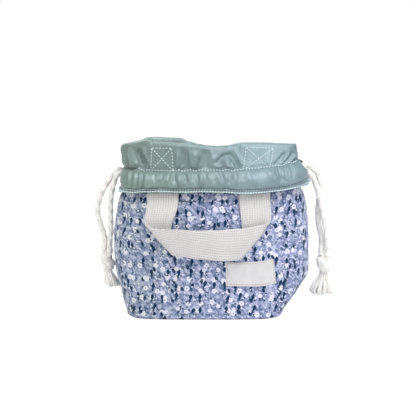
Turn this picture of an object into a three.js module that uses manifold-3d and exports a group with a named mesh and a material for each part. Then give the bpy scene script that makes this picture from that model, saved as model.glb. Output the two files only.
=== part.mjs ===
// A small drawstring snack bag standing on its boxed base. The padded printed body has a smooth
// waterproof lining whose top is turned out over the body as a cuff. The cuff ends in a casing that
// holds two cotton drawcords, one pulled out at each side and knotted. The two webbing handles are
// sewn under the cuff and hang below it, each folded flat at its lower corners.
// Millimetres, +Z up, the front faces -Y. The origin is under the middle of the bag, on the table.
import * as THREE from "three";
import { mergeVertices } from "three/addons/utils/BufferGeometryUtils.js";
import Module from "manifold-3d";

const wasm = await Module();
wasm.setup();

// Body
const baseWidth = 146.5;
const baseDepth = 84;
const baseShift = -7.25; // the body leans to the right over its base
const baseEdgeRoll = 3; // rounding of the edge where the walls meet the base
const cornerHeight = 38; // top of the folded boxed corners
const cornerWidth = 191.5;
const cornerDepth = 93;
const bellyHeight = 72;
const bellyWidth = 197.6;
const bellyDepth = 94;
const shoulderHeight = 118;
const shoulderWidth = 189;
const shoulderDepth = 79;
const neckHeight = 139.5; // middle of the casing, where the drawcords draw the bag in
const neckWidth = 166.5;
const neckDepth = 58;
const neckShift = 2.75;
const rimHeight = 174; // fold at the top, where the lining turns outwards
const rimWidth = 168.5;
const rimDepth = 38;
const rimShift = -2.75;
const mouthPinch = 0.38; // share by which the right half of the mouth is pressed together
const pinchStart = -0.17; // from the left to the right side seam this goes from -1 to 1
const pinchEnd = 0.22;

// Layers of the wall
const printThickness = 1.2;
const foamThickness = 3;
const liningThickness = 0.8;
const layerGap = 0.4; // between layers, and between sewn pieces
const foamTop = 124; // the padding stops below the cuff
const foamBevel = 5; // height over which the lining leaves the padding for the printed wall
const printBelowRim = 6.5; // the printed fabric runs up inside the fold

// Cuff and casing
const cuffThickness = 1.2;
const cuffInnerLeg = 14; // how far the turned-out fabric reaches down inside the mouth
const casingHeight = 20; // between the two stitch lines
const casingWall = 0.8;
const casingRoom = 0.9; // between a cord and the casing
const casingSlack = 1.5; // loose fabric on the outer side of the cords
const hemDepth = 2.6; // flat double hem below the casing
const hemThickness = 1.6;
const casingTilt = 3.5; // the casing climbs this much from the middle to the right side
const casingLift = 5; // and rises this much towards both sides
const exitGap = 15; // between the front and back casing, where the cords come out

// Drawcords
const cordDiameter = 5.5;
const cordSpacing = 6.4; // the two cords lie one above the other in the casing
const cordEndGap = 0.6; // between a free stretch and what it comes from or goes into
const knotCordDiameter = 6.1; // both strands drawn tight together
const knotWidth = 15;
const knotDepth = 13;
const knotHeight = 17.5;
const tasselTopWidth = 9;
const tasselBottomWidth = 14;
const tasselFlatness = 0.75;

// Handles
const webbingWidth = 30;
const webbingThickness = 2;
const sewnThickness = 1.7; // the webbing's ends are pressed flatter under the cuff
const webbingRoom = 0.8; // between the sewn webbing ends and the cuff over them
const webbingRest = 0.6; // between the hanging webbing and the body
const handleSpacing = 91; // between the middles of the legs
const handleMiddle = -2.9; // from the middle of the bag
const handleDrop = 47.5; // from the hem to the middle of the hanging band
const handleSag = 3;
const handleFoldRadius = 2.2; // roll of the webbing at its folded corners
const pivotBelowHem = 7; // the swinging webbing starts this far below the hem

// Label
const labelWidth = 50;
const labelHeight = 25;
const labelThickness = 0.7;
const labelX = 38.7;
const labelZ = 47.8;
const labelTurn = 3.2; // degrees, its right end higher

// Front and back are mirror images
const FRONT = 1;
const BACK = -1;
const LEFT = -1;
const RIGHT = 1;

// What the fixed sizes lead to
const cuffOffset = layerGap + webbingThickness + webbingRoom; // from the print to the cuff
const cordOffset = cuffOffset + casingWall + casingRoom + cordDiameter / 2;
const casingDepth = 2 * casingWall + casingRoom + cordDiameter + casingSlack;
const hemHeight = neckHeight - casingHeight / 2 - hemDepth;
const casingTop = neckHeight + casingHeight / 2;
const printTop = rimHeight - printBelowRim;
const cuffBottom = rimHeight - cuffInnerLeg; // inside the mouth
const webbingEndTop = printTop;
const pivotHeight = hemHeight - pivotBelowHem;
const liningOffset = -(printThickness + foamThickness + 2 * layerGap);
const collarOffset = -(printThickness + layerGap);

// Heights, widths, depths, sideways shift and squareness of the body's cross sections
const stations = [
  {
    z: 0,
    width: baseWidth - 2 * baseEdgeRoll,
    depth: baseDepth - 2 * baseEdgeRoll,
    shift: baseShift,
    square: 5,
  },
  { z: baseEdgeRoll, width: baseWidth, depth: baseDepth, shift: baseShift, square: 5 },
  { z: cornerHeight, width: cornerWidth, depth: cornerDepth, shift: 0, square: 3 },
  { z: bellyHeight, width: bellyWidth, depth: bellyDepth, shift: 0, square: 2.7 },
  { z: shoulderHeight, width: shoulderWidth, depth: shoulderDepth, shift: 0, square: 2.9 },
  { z: neckHeight, width: neckWidth, depth: neckDepth, shift: neckShift, square: 3.6 },
  { z: rimHeight, width: rimWidth, depth: rimDepth, shift: rimShift, square: 2.8 },
];
const wallLevels = [12, 25, cornerHeight, 55, bellyHeight, 96, shoulderHeight];

// How far the rim dips below its full height, from the left (-1) to the right side seam (1)
const rimDips = [
  { across: -1, front: 5.5, back: 5.5 },
  { across: -0.62, front: 1.6, back: 0.4 },
  { across: -0.35, front: 1.8, back: 0 },
  { across: -0.12, front: 2, back: 2.8 },
  { across: 0.04, front: 4.6, back: 6 },
  { across: 0.27, front: 0.8, back: 6 },
  { across: 0.6, front: 0.8, back: 4.6 },
  { across: 1, front: 1.8, back: 1.8 },
];

const lerp = (a, b, t) => a + (b - a) * t;
const radians = (degrees) => (degrees * Math.PI) / 180;
const range = (count, make) => Array.from({ length: count }, (_, i) => make(i));
const evenly = (steps, from, to) => range(steps + 1, (i) => lerp(from, to, i / steps));
const signedPower = (value, power) => Math.sign(value) * Math.abs(value) ** power;

// One measure of the body at a height, on a smooth curve through the stations
function measureAt(z, key) {
  const last = stations.length - 1;
  const above = stations.findIndex((s) => s.z > z);
  const i = above < 0 ? last - 1 : Math.max(0, above - 1);
  const slope = (k) => {
    const before = stations[Math.max(0, k - 1)];
    const after = stations[Math.min(last, k + 1)];
    return (after[key] - before[key]) / (after.z - before.z);
  };
  const low = stations[i];
  const high = stations[i + 1];
  const span = high.z - low.z;
  const t = (z - low.z) / span;
  const t2 = t * t;
  const t3 = t2 * t;
  return (
    (2 * t3 - 3 * t2 + 1) * low[key] +
    (t3 - 2 * t2 + t) * span * slope(i) +
    (3 * t2 - 2 * t3) * high[key] +
    (t3 - t2) * span * slope(i + 1)
  );
}

// How much higher the casing runs at a place than in the middle of the front
const riseAt = (across) => casingTilt * across + casingLift * across ** 2;

// How far a height lies on the way from the casing's upper stitches to the rim
function towardsRim(across, z) {
  const stitches = casingTop + riseAt(across);
  return THREE.MathUtils.clamp((z - stitches) / (rimHeight - stitches), 0, 1);
}

// What the pressed right half of the mouth leaves of the wall's depth
function mouthOpen(across, z) {
  const pressed = THREE.MathUtils.smoothstep(across, pinchStart, pinchEnd);
  return 1 - mouthPinch * pressed * towardsRim(across, z);
}

function rimDip(across, z, side) {
  const key = side === FRONT ? "front" : "back";
  const next = Math.max(1, rimDips.findIndex((dip) => dip.across >= across - 1e-6));
  const [from, to] = [rimDips[next - 1], rimDips[next]];
  const dip = lerp(from[key], to[key], (across - from.across) / (to.across - from.across));
  return dip * towardsRim(across, z);
}

// A point of the wall, grown outwards by an offset. The turn goes from the left side seam over the
// front to the right side seam at half a turn, and with a minus sign over the back.
function wallPoint(turn, z, offset) {
  const power = 2 / measureAt(z, "square");
  const across = -Math.cos(turn);
  const halfWidth = measureAt(z, "width") / 2 + offset;
  const halfDepth = (measureAt(z, "depth") / 2) * mouthOpen(across, z) + offset;
  const x = measureAt(z, "shift") + halfWidth * signedPower(across, power);
  const y = -halfDepth * signedPower(Math.sin(turn), power);
  return new THREE.Vector3(x, y, z - rimDip(across, z, Math.sin(turn) < 0 ? BACK : FRONT));
}

// Where a place in the front view lies between the side seams, from -1 to 1
function acrossAt(x, z) {
  const share = (x - measureAt(z, "shift")) / (measureAt(z, "width") / 2);
  return signedPower(THREE.MathUtils.clamp(share, -1, 1), measureAt(z, "square") / 2);
}

// How far the body's face stands out from its middle plane at a place in the front view
function faceDepth(x, z) {
  const across = acrossAt(x, z);
  const halfDepth = (measureAt(z, "depth") / 2) * mouthOpen(across, z);
  return halfDepth * (1 - across ** 2) ** (1 / measureAt(z, "square"));
}

const casingRise = (turn) => riseAt(-Math.cos(turn));

// A point in or on the casing: up from its middle line, and out from the printed wall
const casingPoint = (turn, up, offset) => wallPoint(turn, neckHeight + casingRise(turn) + up, offset);

// The turn at which the casing stops beside the cord exit
function exitTurn() {
  const halfDepth = neckDepth / 2 + cordOffset;
  return Math.asin((exitGap / 2 / halfDepth) ** (measureAt(neckHeight, "square") / 2));
}

// A named piece from loose triangles, turned so that its faces point outwards
function piece(name, triangles, material) {
  const apart = (a, b) => a.distanceTo(b) > 1e-3;
  const kept = triangles.filter(([a, b, c]) => apart(a, b) && apart(b, c) && apart(c, a));
  const volume = kept.reduce((sum, [a, b, c]) => sum + a.dot(b.clone().cross(c)), 0);
  const points = kept.flatMap(([a, b, c]) => (volume < 0 ? [a, c, b] : [a, b, c]));
  const geometry = new THREE.BufferGeometry().setFromPoints(points);
  geometry.computeVertexNormals();
  return named(name, geometry, material);
}

function named(name, geometry, material) {
  const mesh = new THREE.Mesh(geometry, material.clone());
  mesh.name = name;
  return mesh;
}

// A wall between two grids of points, closed at its borders. With wrap its rows go round, as in a tunnel.
// All faces are split along the diagonal that climbs to the right, so that layers lie parallel.
function thickSheet(outer, inner, wrap = false) {
  const rows = outer.length;
  const end = outer[0].length - 1;
  const triangles = [];
  const split = (a, b, c, d) => triangles.push([a, b, c], [a, c, d]);
  const quad = (a, b, c, d) => ((c.x - a.x) * (c.z - a.z) < 0 ? split(b, c, d, a) : split(a, b, c, d));
  for (let r = 0; r < (wrap ? rows : rows - 1); r++) {
    const next = (r + 1) % rows;
    for (let c = 0; c < end; c++) {
      quad(outer[r][c], outer[r][c + 1], outer[next][c + 1], outer[next][c]);
      quad(inner[r][c], inner[next][c], inner[next][c + 1], inner[r][c + 1]);
    }
    quad(outer[r][0], outer[next][0], inner[next][0], inner[r][0]);
    quad(outer[r][end], inner[r][end], inner[next][end], outer[next][end]);
  }
  if (!wrap) {
    const f = rows - 1;
    for (let c = 0; c < end; c++) {
      quad(outer[0][c], inner[0][c], inner[0][c + 1], outer[0][c + 1]);
      quad(outer[f][c], outer[f][c + 1], inner[f][c + 1], inner[f][c]);
    }
  }
  return triangles;
}

// A round cord along hand-placed points
function cordAlong(points, diameter, steps, sides = 8) {
  const outline = range(sides, (i) => {
    const angle = (2 * Math.PI * i) / sides;
    return new THREE.Vector2(Math.cos(angle), Math.sin(angle)).multiplyScalar(diameter / 2);
  });
  const path = new THREE.CatmullRomCurve3(points, false, "centripetal");
  return new THREE.ExtrudeGeometry(new THREE.Shape(outline), { steps, extrudePath: path });
}

function solidOf(geometry) {
  geometry.deleteAttribute("normal");
  geometry.deleteAttribute("uv");
  const merged = mergeVertices(geometry, 1e-3);
  const vertProperties = new Float32Array(merged.attributes.position.array);
  const triVerts = new Uint32Array(merged.index.array);
  return new wasm.Manifold(new wasm.Mesh({ numProp: 3, vertProperties, triVerts }));
}

function largestBody(solid) {
  const [largest] = solid.decompose().sort((a, b) => b.volume() - a.volume());
  const mesh = largest.getMesh();
  const geometry = new THREE.BufferGeometry();
  geometry.setAttribute("position", new THREE.BufferAttribute(mesh.vertProperties, 3));
  geometry.setIndex(new THREE.BufferAttribute(mesh.triVerts, 1));
  return geometry;
}

const cotton = { roughness: 0.95, metalness: 0 };
const printMaterial = new THREE.MeshStandardMaterial({ color: 0x9aa4bc, ...cotton });
const foamMaterial = new THREE.MeshStandardMaterial({ color: 0xe9e7e2, ...cotton });
const liningMaterial = new THREE.MeshStandardMaterial({
  color: 0x96aca9,
  roughness: 0.45,
  metalness: 0,
});
const webbingMaterial = new THREE.MeshStandardMaterial({ color: 0xe2dfda, ...cotton });
const cordMaterial = new THREE.MeshStandardMaterial({ color: 0xe4dfda, ...cotton });
const labelMaterial = new THREE.MeshStandardMaterial({ color: 0xddd9d2, ...cotton });

// The columns that all layers of the wall share, closer together in the middle of the front
const wallTurns = evenly(20, 0, 1).map((u) => Math.PI * u + 0.16 * Math.sin(2 * Math.PI * u));
const upperStitches = (turn) => casingTop + casingRise(turn);

// One layer of half the bag: half the base in one with the front or the back wall
function bagLayer(name, side, depthIn, thickness, levels, material, turnedOut) {
  const row = (levelAt, depth, reach = 1) =>
    wallTurns.map((turn) => {
      const z = levelAt(turn);
      const out = turnedOut && z > turnedOut.above ? turnedOut.by : 0;
      const point = wallPoint(side * turn, z, out - depth);
      return point.setY(-side * Math.max(layerGap / 2, Math.abs(point.y) * reach));
    });
  const surface = (depth) => {
    const base = [0, 0.55, 1].map((reach) => row(() => 0, depth, reach));
    base.flat().forEach((point) => point.setZ(depth));
    const levelAt = (level) => (level.call ? level : () => Math.max(level, depth + 0.5));
    return [...base, ...levels.map((level) => row(levelAt(level), depth))];
  };
  return piece(name, thickSheet(surface(depthIn), surface(depthIn + thickness)), material);
}

function printedPanel(name, side) {
  const upper = [foamTop, foamTop + foamBevel, neckHeight, upperStitches, cuffBottom, printTop];
  const levels = [baseEdgeRoll, ...wallLevels, ...upper];
  return bagLayer(name, side, 0, printThickness, levels, printMaterial);
}

function insulation(name, side) {
  const levels = [baseEdgeRoll, ...wallLevels, foamTop];
  return bagLayer(name, side, -collarOffset, foamThickness, levels, foamMaterial);
}

// The lining follows the padding, then the printed wall, up to the cuff's inner leg
function lining(name, side) {
  const padded = foamTop + layerGap;
  const upper = [padded, foamTop + foamBevel, neckHeight, upperStitches, cuffBottom - layerGap];
  const turnedOut = { above: foamTop + 1, by: collarOffset - liningOffset };
  const levels = [...wallLevels, ...upper];
  return bagLayer(name, side, -liningOffset, liningThickness, levels, liningMaterial, turnedOut);
}

// The top of the lining, turned out over the printed wall: an upside-down U round the rim
function cuff(name, side) {
  const foldRadius = (cuffOffset - collarOffset) / 2 + cuffThickness;
  const foldOffset = cuffOffset + cuffThickness - foldRadius;
  const foldHeight = rimHeight - foldRadius;
  const surface = (inset) => {
    const radius = foldRadius - inset;
    const fold = [0, 45, 90, 135, 180].map((degrees) => ({
      offset: foldOffset + radius * Math.cos(radians(degrees)),
      z: () => foldHeight + radius * Math.sin(radians(degrees)),
    }));
    const stitches = (turn) => upperStitches(turn) + layerGap;
    const outside = [stitches, () => cuffBottom, () => printTop].map((z) => ({
      offset: foldOffset + radius,
      z,
    }));
    const inside = [printTop, cuffBottom].map((z) => ({ offset: foldOffset - radius, z: () => z }));
    return [...outside, ...fold, ...inside].map(({ offset, z }) =>
      wallTurns.map((turn) => {
        const point = wallPoint(side * turn, z(turn), offset);
        return point.setY(-side * Math.max(layerGap / 2, Math.abs(point.y)));
      }),
    );
  };
  return piece(name, thickSheet(surface(0), surface(cuffThickness)), liningMaterial);
}

// The channel for the cords with the flat hem below it, open at both ends beside the cord exits
function casing(name, side) {
  const half = casingHeight / 2;
  const puff = [-60, -30, 0, 30, 60].map(radians);
  const loop = (wall) => {
    const flat = cuffOffset + wall;
    const high = half - 1.8 * wall;
    const bulge = casingDepth - 2 * wall;
    const hem = wall ? [high, high, high] : [high + hemDepth, high + hemDepth, high - 1];
    return [
      [flat, high],
      [flat, 0],
      [flat, -hem[0]],
      [flat + (wall ? 0.6 : hemThickness), -hem[1]],
      [flat + hemThickness, -hem[2]],
      ...puff.map((a) => [flat + bulge * Math.cos(a) ** 0.6, high * Math.sin(a)]),
      [flat + cuffThickness, high],
    ];
  };
  const start = exitTurn();
  const turns = evenly(22, start, Math.PI - start);
  const surface = (wall) =>
    loop(wall).map(([offset, up]) => turns.map((turn) => casingPoint(side * turn, up, offset)));
  return piece(name, thickSheet(surface(0), surface(casingWall), true), liningMaterial);
}

// Webbing with its real thickness round a middle surface. A row is placed along the webbing, can
// slant across it, and has half the thickness that the webbing has there.
function webbing(name, rows, middleAt) {
  const across = evenly(6, -webbingWidth / 2, webbingWidth / 2);
  const step = 0.01;
  const face = (sign) =>
    rows.map(({ along, slant = 0, half = webbingThickness / 2 }) =>
      across.map((w) => {
        const s = along + slant * w;
        const lengthwise = middleAt(s + step, w).sub(middleAt(s - step, w));
        const crosswise = middleAt(s, w + step).sub(middleAt(s, w - step));
        const normal = lengthwise.cross(crosswise).normalize();
        return middleAt(s, w).addScaledVector(normal, sign * half);
      }),
    );
  return piece(name, thickSheet(face(1), face(-1)), webbingMaterial);
}

// One end of a handle, sewn flat between the printed wall and the cuff
function handleEnd(name, side, hand) {
  const legX = handleMiddle + (hand * handleSpacing) / 2;
  const middleAt = (s, w) => {
    const x = legX + w;
    const z = webbingEndTop - s;
    const slope = (faceDepth(x, z - 1) - faceDepth(x, z + 1)) / 2;
    const out = (layerGap + sewnThickness / 2) * Math.hypot(1, slope);
    return new THREE.Vector3(x, -side * (faceDepth(x, z) + out), z - rimDip(acrossAt(x, z), z, side));
  };
  const stitchesAt = (x) => casingTop + riseAt(acrossAt(x, casingTop));
  const [near, far] = [legX - webbingWidth / 2, legX + webbingWidth / 2].map(stitchesAt);
  const slant = (near - far) / webbingWidth;
  const stitches = stitchesAt(legX);
  const rows = [
    { z: webbingEndTop, slant: 0 },
    { z: cuffBottom, slant: slant / 2 },
    { z: stitches, slant },
    { z: (stitches + neckHeight) / 2, slant: slant / 2 },
    { z: neckHeight, slant: 0 },
    { z: foamTop + foamBevel, slant: 0 },
    { z: foamTop, slant: 0 },
    { z: pivotHeight + webbingThickness / 2 + layerGap, slant: 0 },
  ];
  const half = sewnThickness / 2;
  const sewn = rows.map(({ z, slant }) => ({ along: webbingEndTop - z, slant, half }));
  return webbing(name, sewn, middleAt);
}

// A hanging handle. Each leg comes down from under the hem and is folded forwards on a slanting line,
// so that the band between the legs lies level in front of them. Rolling the flat strip over each
// fold line keeps its real width and length.
function handle(name, side) {
  const legLength = handleDrop - pivotBelowHem;
  const halfRoll = (Math.PI * handleFoldRadius) / 2;
  const stripMiddle = legLength + handleSpacing / 2;
  const legX = handleMiddle - handleSpacing / 2;
  const bandHeight = pivotHeight - legLength;
  const middleAt = (s, w) => {
    const mirrored = s > stripMiddle;
    const along = mirrored ? 2 * stripMiddle - s : s;
    const past = (along - legLength - w) / Math.SQRT2; // distance past the fold line
    const roll = Math.min(Math.PI, Math.max(0, (past + halfRoll) / handleFoldRadius));
    let reach = handleFoldRadius * Math.sin(roll);
    if (past < -halfRoll) reach = past + halfRoll;
    if (past > halfRoll) reach = halfRoll - past;
    const onFold = (along - legLength + w) / 2;
    const x = legX + onFold - reach / Math.SQRT2;
    const forward = handleFoldRadius * (1 - Math.cos(roll));
    const sag = handleSag * (forward / (2 * handleFoldRadius));
    const fromMiddle = (x - handleMiddle) / handleSpacing;
    const z = bandHeight - onFold - reach / Math.SQRT2 - sag * Math.cos(Math.PI * fromMiddle) ** 2;
    const realX = mirrored ? 2 * handleMiddle - x : x;
    const depth = faceDepth(realX, z) + webbingRest + webbingThickness / 2 + forward;
    return new THREE.Vector3(realX, -side * depth, z);
  };
  const rollStart = legLength - Math.SQRT2 * halfRoll;
  const rollEnd = legLength + Math.SQRT2 * halfRoll;
  const leg = range(5, (i) => ({ along: (rollStart * i) / 5, slant: i / 5 }));
  const folded = evenly(6, rollStart, rollEnd).map((along) => ({ along, slant: 1 }));
  const band = range(4, (i) => ({
    along: lerp(rollEnd, stripMiddle, (i + 1) / 5),
    slant: 1 - (i + 1) / 5,
  }));
  const capped = [
    { along: -webbingThickness / 2, half: 0.35 },
    { along: -0.35 * webbingThickness, half: 0.75 },
  ];
  const rows = [...capped, ...leg, ...folded, ...band];
  const mirrorRow = (row) => ({
    ...row,
    along: 2 * stripMiddle - row.along,
    slant: -(row.slant ?? 0),
  });
  const all = [...rows, { along: stripMiddle }, ...rows.map(mirrorRow).reverse()];
  return webbing(name, all, middleAt);
}

function label(name) {
  const turn = radians(labelTurn);
  const grid = (out) =>
    evenly(5, labelHeight / 2, -labelHeight / 2).map((v) =>
      evenly(8, -labelWidth / 2, labelWidth / 2).map((u) => {
        const x = labelX + u * Math.cos(turn) - v * Math.sin(turn);
        const z = labelZ + u * Math.sin(turn) + v * Math.cos(turn);
        return new THREE.Vector3(x, -(faceDepth(x, z) + layerGap + out), z);
      }),
    );
  return piece(name, thickSheet(grid(labelThickness), grid(0)), labelMaterial);
}

// The cord of one side, from its exit round the whole casing and back to the same exit
function cordRun(name, hand) {
  const up = (-hand * cordSpacing) / 2;
  const from = exitTurn() + (hand > 0 ? Math.PI : 0);
  const turns = evenly(64, from, from + 2 * (Math.PI - exitTurn()));
  const points = turns.map((turn) => casingPoint(turn, up, cordOffset));
  return named(name, cordAlong(points, cordDiameter, 64), cordMaterial);
}

// Where a strand leaves the casing
function exitPoint(side, hand) {
  const turn = hand > 0 ? Math.PI - exitTurn() : exitTurn();
  const point = casingPoint(side * turn, (-hand * cordSpacing) / 2, cordOffset);
  point.y += side * cordEndGap;
  return point;
}

const knotPlaces = {
  [LEFT]: new THREE.Vector3(-106.5, 0, 52),
  [RIGHT]: new THREE.Vector3(115.5, 0, 50),
};

// A free strand: it turns outwards in the gap between the front and back casing, and then follows
// hand-placed points down to just above the knot
function freeStrand(name, side, hand, places) {
  const start = exitPoint(side, hand);
  const bend = Math.abs(start.y) - cordSpacing / 2;
  const points = [0, 30, 60, 90].map(radians).map((a) => {
    const out = hand * bend * (1 - Math.cos(a));
    return start.clone().add(new THREE.Vector3(out, side * bend * Math.sin(a), 0));
  });
  points.push(...places.map(([x, y, z]) => new THREE.Vector3(x, y, z)));
  const knot = knotPlaces[hand];
  const top = knot.z + knotHeight / 2 + cordEndGap;
  points.push(new THREE.Vector3(knot.x + (side * cordSpacing) / 2, knot.y, top));
  return named(name, cordAlong(points, cordDiameter, 18), cordMaterial);
}

// An overhand knot tied in both strands at once: a cord on the curve of a long trefoil knot, made in
// three stretches that are joined where the turns press on each other
function knot(name, hand) {
  const place = knotPlaces[hand];
  const reach = 1.95; // where the ends leave the turns for the middle
  const wide = (knotWidth - knotCordDiameter) / 2 / 2.2;
  const deep = (knotDepth - knotCordDiameter) / 4.4;
  const high = (knotHeight - knotCordDiameter) / 2 / 9.5;
  const at = (t) => {
    const x = hand * wide * (t ** 3 - 3 * t);
    const y = deep * (t ** 4 - 4 * t ** 2 + 2);
    return new THREE.Vector3(place.x + x, place.y + y, place.z - high * (t ** 5 - 10 * t));
  };
  const end = (sign) =>
    [0.6, 1].map((share) => place.clone().setZ(place.z + (sign * share * knotHeight) / 2));
  const stretch = (points) => solidOf(cordAlong(points, knotCordDiameter, 11));
  const above = stretch([...end(1).reverse(), ...evenly(6, -reach, -0.6).map(at)]);
  const below = stretch([...evenly(6, 0.6, reach).map(at), ...end(-1)]);
  const joined = above.add(stretch(evenly(8, -0.8, 0.8).map(at))).add(below);
  // Taken twice, since merging the close vertices of the first result can part a crumb from it
  const geometry = largestBody(solidOf(largestBody(joined)));
  geometry.computeVertexNormals();
  return named(name, geometry, cordMaterial);
}

// The frayed ends below a knot, as one flattened brush
function tassel(name, hand, length, lean) {
  const place = knotPlaces[hand];
  const profile = [
    [0, 0],
    [tasselTopWidth / 2, 0],
    [lerp(tasselTopWidth, tasselBottomWidth, 0.55) / 2, -length * 0.35],
    [tasselBottomWidth / 2, -length],
    [0, -length],
  ];
  const outline = profile.map(([x, y]) => new THREE.Vector2(x, y)).reverse();
  const geometry = new THREE.LatheGeometry(outline, 12);
  geometry.rotateX(Math.PI / 2);
  geometry.scale(1, tasselFlatness, 1);
  geometry.rotateY(radians(lean));
  geometry.translate(place.x, place.y, place.z - knotHeight / 2 - cordEndGap);
  return named(name, geometry, cordMaterial);
}

const bag = new THREE.Group();
bag.name = "snack_bag";
bag.add(
  printedPanel("outer_front_panel", FRONT),
  printedPanel("outer_back_panel", BACK),
  insulation("insulation_front", FRONT),
  insulation("insulation_back", BACK),
  lining("lining_front", FRONT),
  lining("lining_back", BACK),
  cuff("cuff_front", FRONT),
  cuff("cuff_back", BACK),
  casing("casing_front", FRONT),
  casing("casing_back", BACK),
  handleEnd("handle_end_front_left", FRONT, LEFT),
  handleEnd("handle_end_front_right", FRONT, RIGHT),
  handleEnd("handle_end_back_left", BACK, LEFT),
  handleEnd("handle_end_back_right", BACK, RIGHT),
  handle("handle_front", FRONT),
  handle("handle_back", BACK),
  label("label"),
  cordRun("drawcord_run_left", LEFT),
  cordRun("drawcord_run_right", RIGHT),
  freeStrand("drawcord_left_inner", FRONT, LEFT, [
    [-96.5, -3.2, 141],
    [-100, -3.1, 132],
    [-102.8, -3, 118],
    [-103.6, -3, 100],
    [-103.2, -2.6, 82],
    [-103.5, -1, 70],
  ]),
  freeStrand("drawcord_left_outer", BACK, LEFT, [
    [-97.5, 3.2, 142.5],
    [-104, 3.4, 135],
    [-113.5, 3.2, 120],
    [-117.4, 3, 104],
    [-115.4, 2.8, 90],
    [-110.6, 1.5, 75],
  ]),
  freeStrand("drawcord_right_inner", FRONT, RIGHT, [
    [101.8, -3.2, 142],
    [106.8, -3.4, 133],
    [111.6, -3.4, 118],
    [115.2, -3.2, 101],
    [118.6, -3, 84],
    [120.2, -1.5, 69],
  ]),
  freeStrand("drawcord_right_outer", BACK, RIGHT, [
    [102.5, 3.2, 144],
    [108.6, 3.4, 138],
    [111.4, 3.4, 124],
    [108.6, 3.2, 107],
    [108.4, 3, 92],
    [110.8, 2.2, 76],
  ]),
  knot("knot_left", LEFT),
  knot("knot_right", RIGHT),
  tassel("tassel_left", LEFT, 15, -9),
  tassel("tassel_right", RIGHT, 18, 6),
);

export default bag;
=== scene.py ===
"""Snack bag with a drawstring mouth: cloth, webbing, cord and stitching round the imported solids.

Lengths are in metres. The bag stands on z = 0 and its front looks along -Y.
"""

import math
import random

import bmesh
import bpy
from mathutils import Matrix, Vector, noise
from mathutils.bvhtree import BVHTree


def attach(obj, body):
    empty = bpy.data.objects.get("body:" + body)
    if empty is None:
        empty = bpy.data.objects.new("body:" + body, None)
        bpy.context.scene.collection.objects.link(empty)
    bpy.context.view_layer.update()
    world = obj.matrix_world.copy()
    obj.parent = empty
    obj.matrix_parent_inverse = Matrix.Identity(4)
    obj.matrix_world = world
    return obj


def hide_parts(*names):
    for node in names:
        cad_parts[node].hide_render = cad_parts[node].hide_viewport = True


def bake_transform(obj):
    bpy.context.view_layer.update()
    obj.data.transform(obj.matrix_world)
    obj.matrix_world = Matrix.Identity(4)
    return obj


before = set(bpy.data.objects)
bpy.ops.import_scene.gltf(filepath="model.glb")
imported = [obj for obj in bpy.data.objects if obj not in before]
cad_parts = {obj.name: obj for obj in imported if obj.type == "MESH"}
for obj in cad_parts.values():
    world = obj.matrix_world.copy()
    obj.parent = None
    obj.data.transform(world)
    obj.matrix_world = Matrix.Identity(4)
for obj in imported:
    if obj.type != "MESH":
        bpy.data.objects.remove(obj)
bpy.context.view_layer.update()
FRONT, BACK = 1, -1
LEFT, RIGHT = -1, 1
SIDES = ((FRONT, "front"), (BACK, "back"))
HANDS = {LEFT: "left", RIGHT: "right"}

bl_info = {
    "name": "Drawstring snack bag",
    "version": (1, 0, 0),
    "blender": (4, 5, 0),
    "location": "View3D > Sidebar > Snack bag",
    "description": "Builds a padded snack bag with a gathered satin mouth",
    "category": "Add Mesh",
}


# Settings


def length(label, millimetres, text):
    return bpy.props.FloatProperty(
        name=label, description=text, default=millimetres / 1000, unit="LENGTH", precision=4
    )


def linear(red, green, blue):
    def one(c):
        c /= 255
        return c / 12.92 if c <= 0.04045 else ((c + 0.055) / 1.055) ** 2.4

    return one(red), one(green), one(blue)


def colour(label, rgb, text):
    return bpy.props.FloatVectorProperty(
        name=label, description=text, default=linear(*rgb), subtype="COLOR", min=0, max=1
    )


class WallSizes(bpy.types.PropertyGroup):
    base_width: length("Base width", 155.5, "Side to side of the flat base")
    base_depth: length("Base depth", 91, "Front to back of the flat base")
    base_shift: length("Base shift", -7.25, "How far the base lies to the right of the middle")
    edge_roll: length("Edge roll", 2.5, "Rounding of the base's edge")
    corner_height: length("Corner height", 39, "Where the boxed corners end")
    corner_width: length("Corner width", 192.5, "Width above the boxed corners")
    corner_depth: length("Corner depth", 93, "Depth above the boxed corners")
    belly_height: length("Belly height", 72, "Height of the widest place")
    belly_width: length("Belly width", 197.6, "Width at the belly")
    belly_depth: length("Belly depth", 94, "Depth at the belly")
    shoulder_height: length("Shoulder height", 118, "Where the cloth turns in to the neck")
    shoulder_width: length("Shoulder width", 189, "Width at the shoulder")
    shoulder_depth: length("Shoulder depth", 79, "Depth at the shoulder")
    neck_height: length("Neck height", 139.5, "Height of the gathered neck")
    neck_width: length("Neck width", 166.5, "Width of the gathered neck")
    neck_depth: length("Neck depth", 58, "Depth of the gathered neck")
    neck_shift: length("Neck shift", 2.75, "How far the neck lies to the right")
    rim_height: length("Rim height", 174, "Height of the rim")
    rim_width: length("Rim width", 168.5, "Width of the mouth")
    rim_depth: length("Rim depth", 38, "Depth of the mouth where it stands open")
    rim_shift: length("Rim shift", -2.75, "How far the rim lies to the right")


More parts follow.
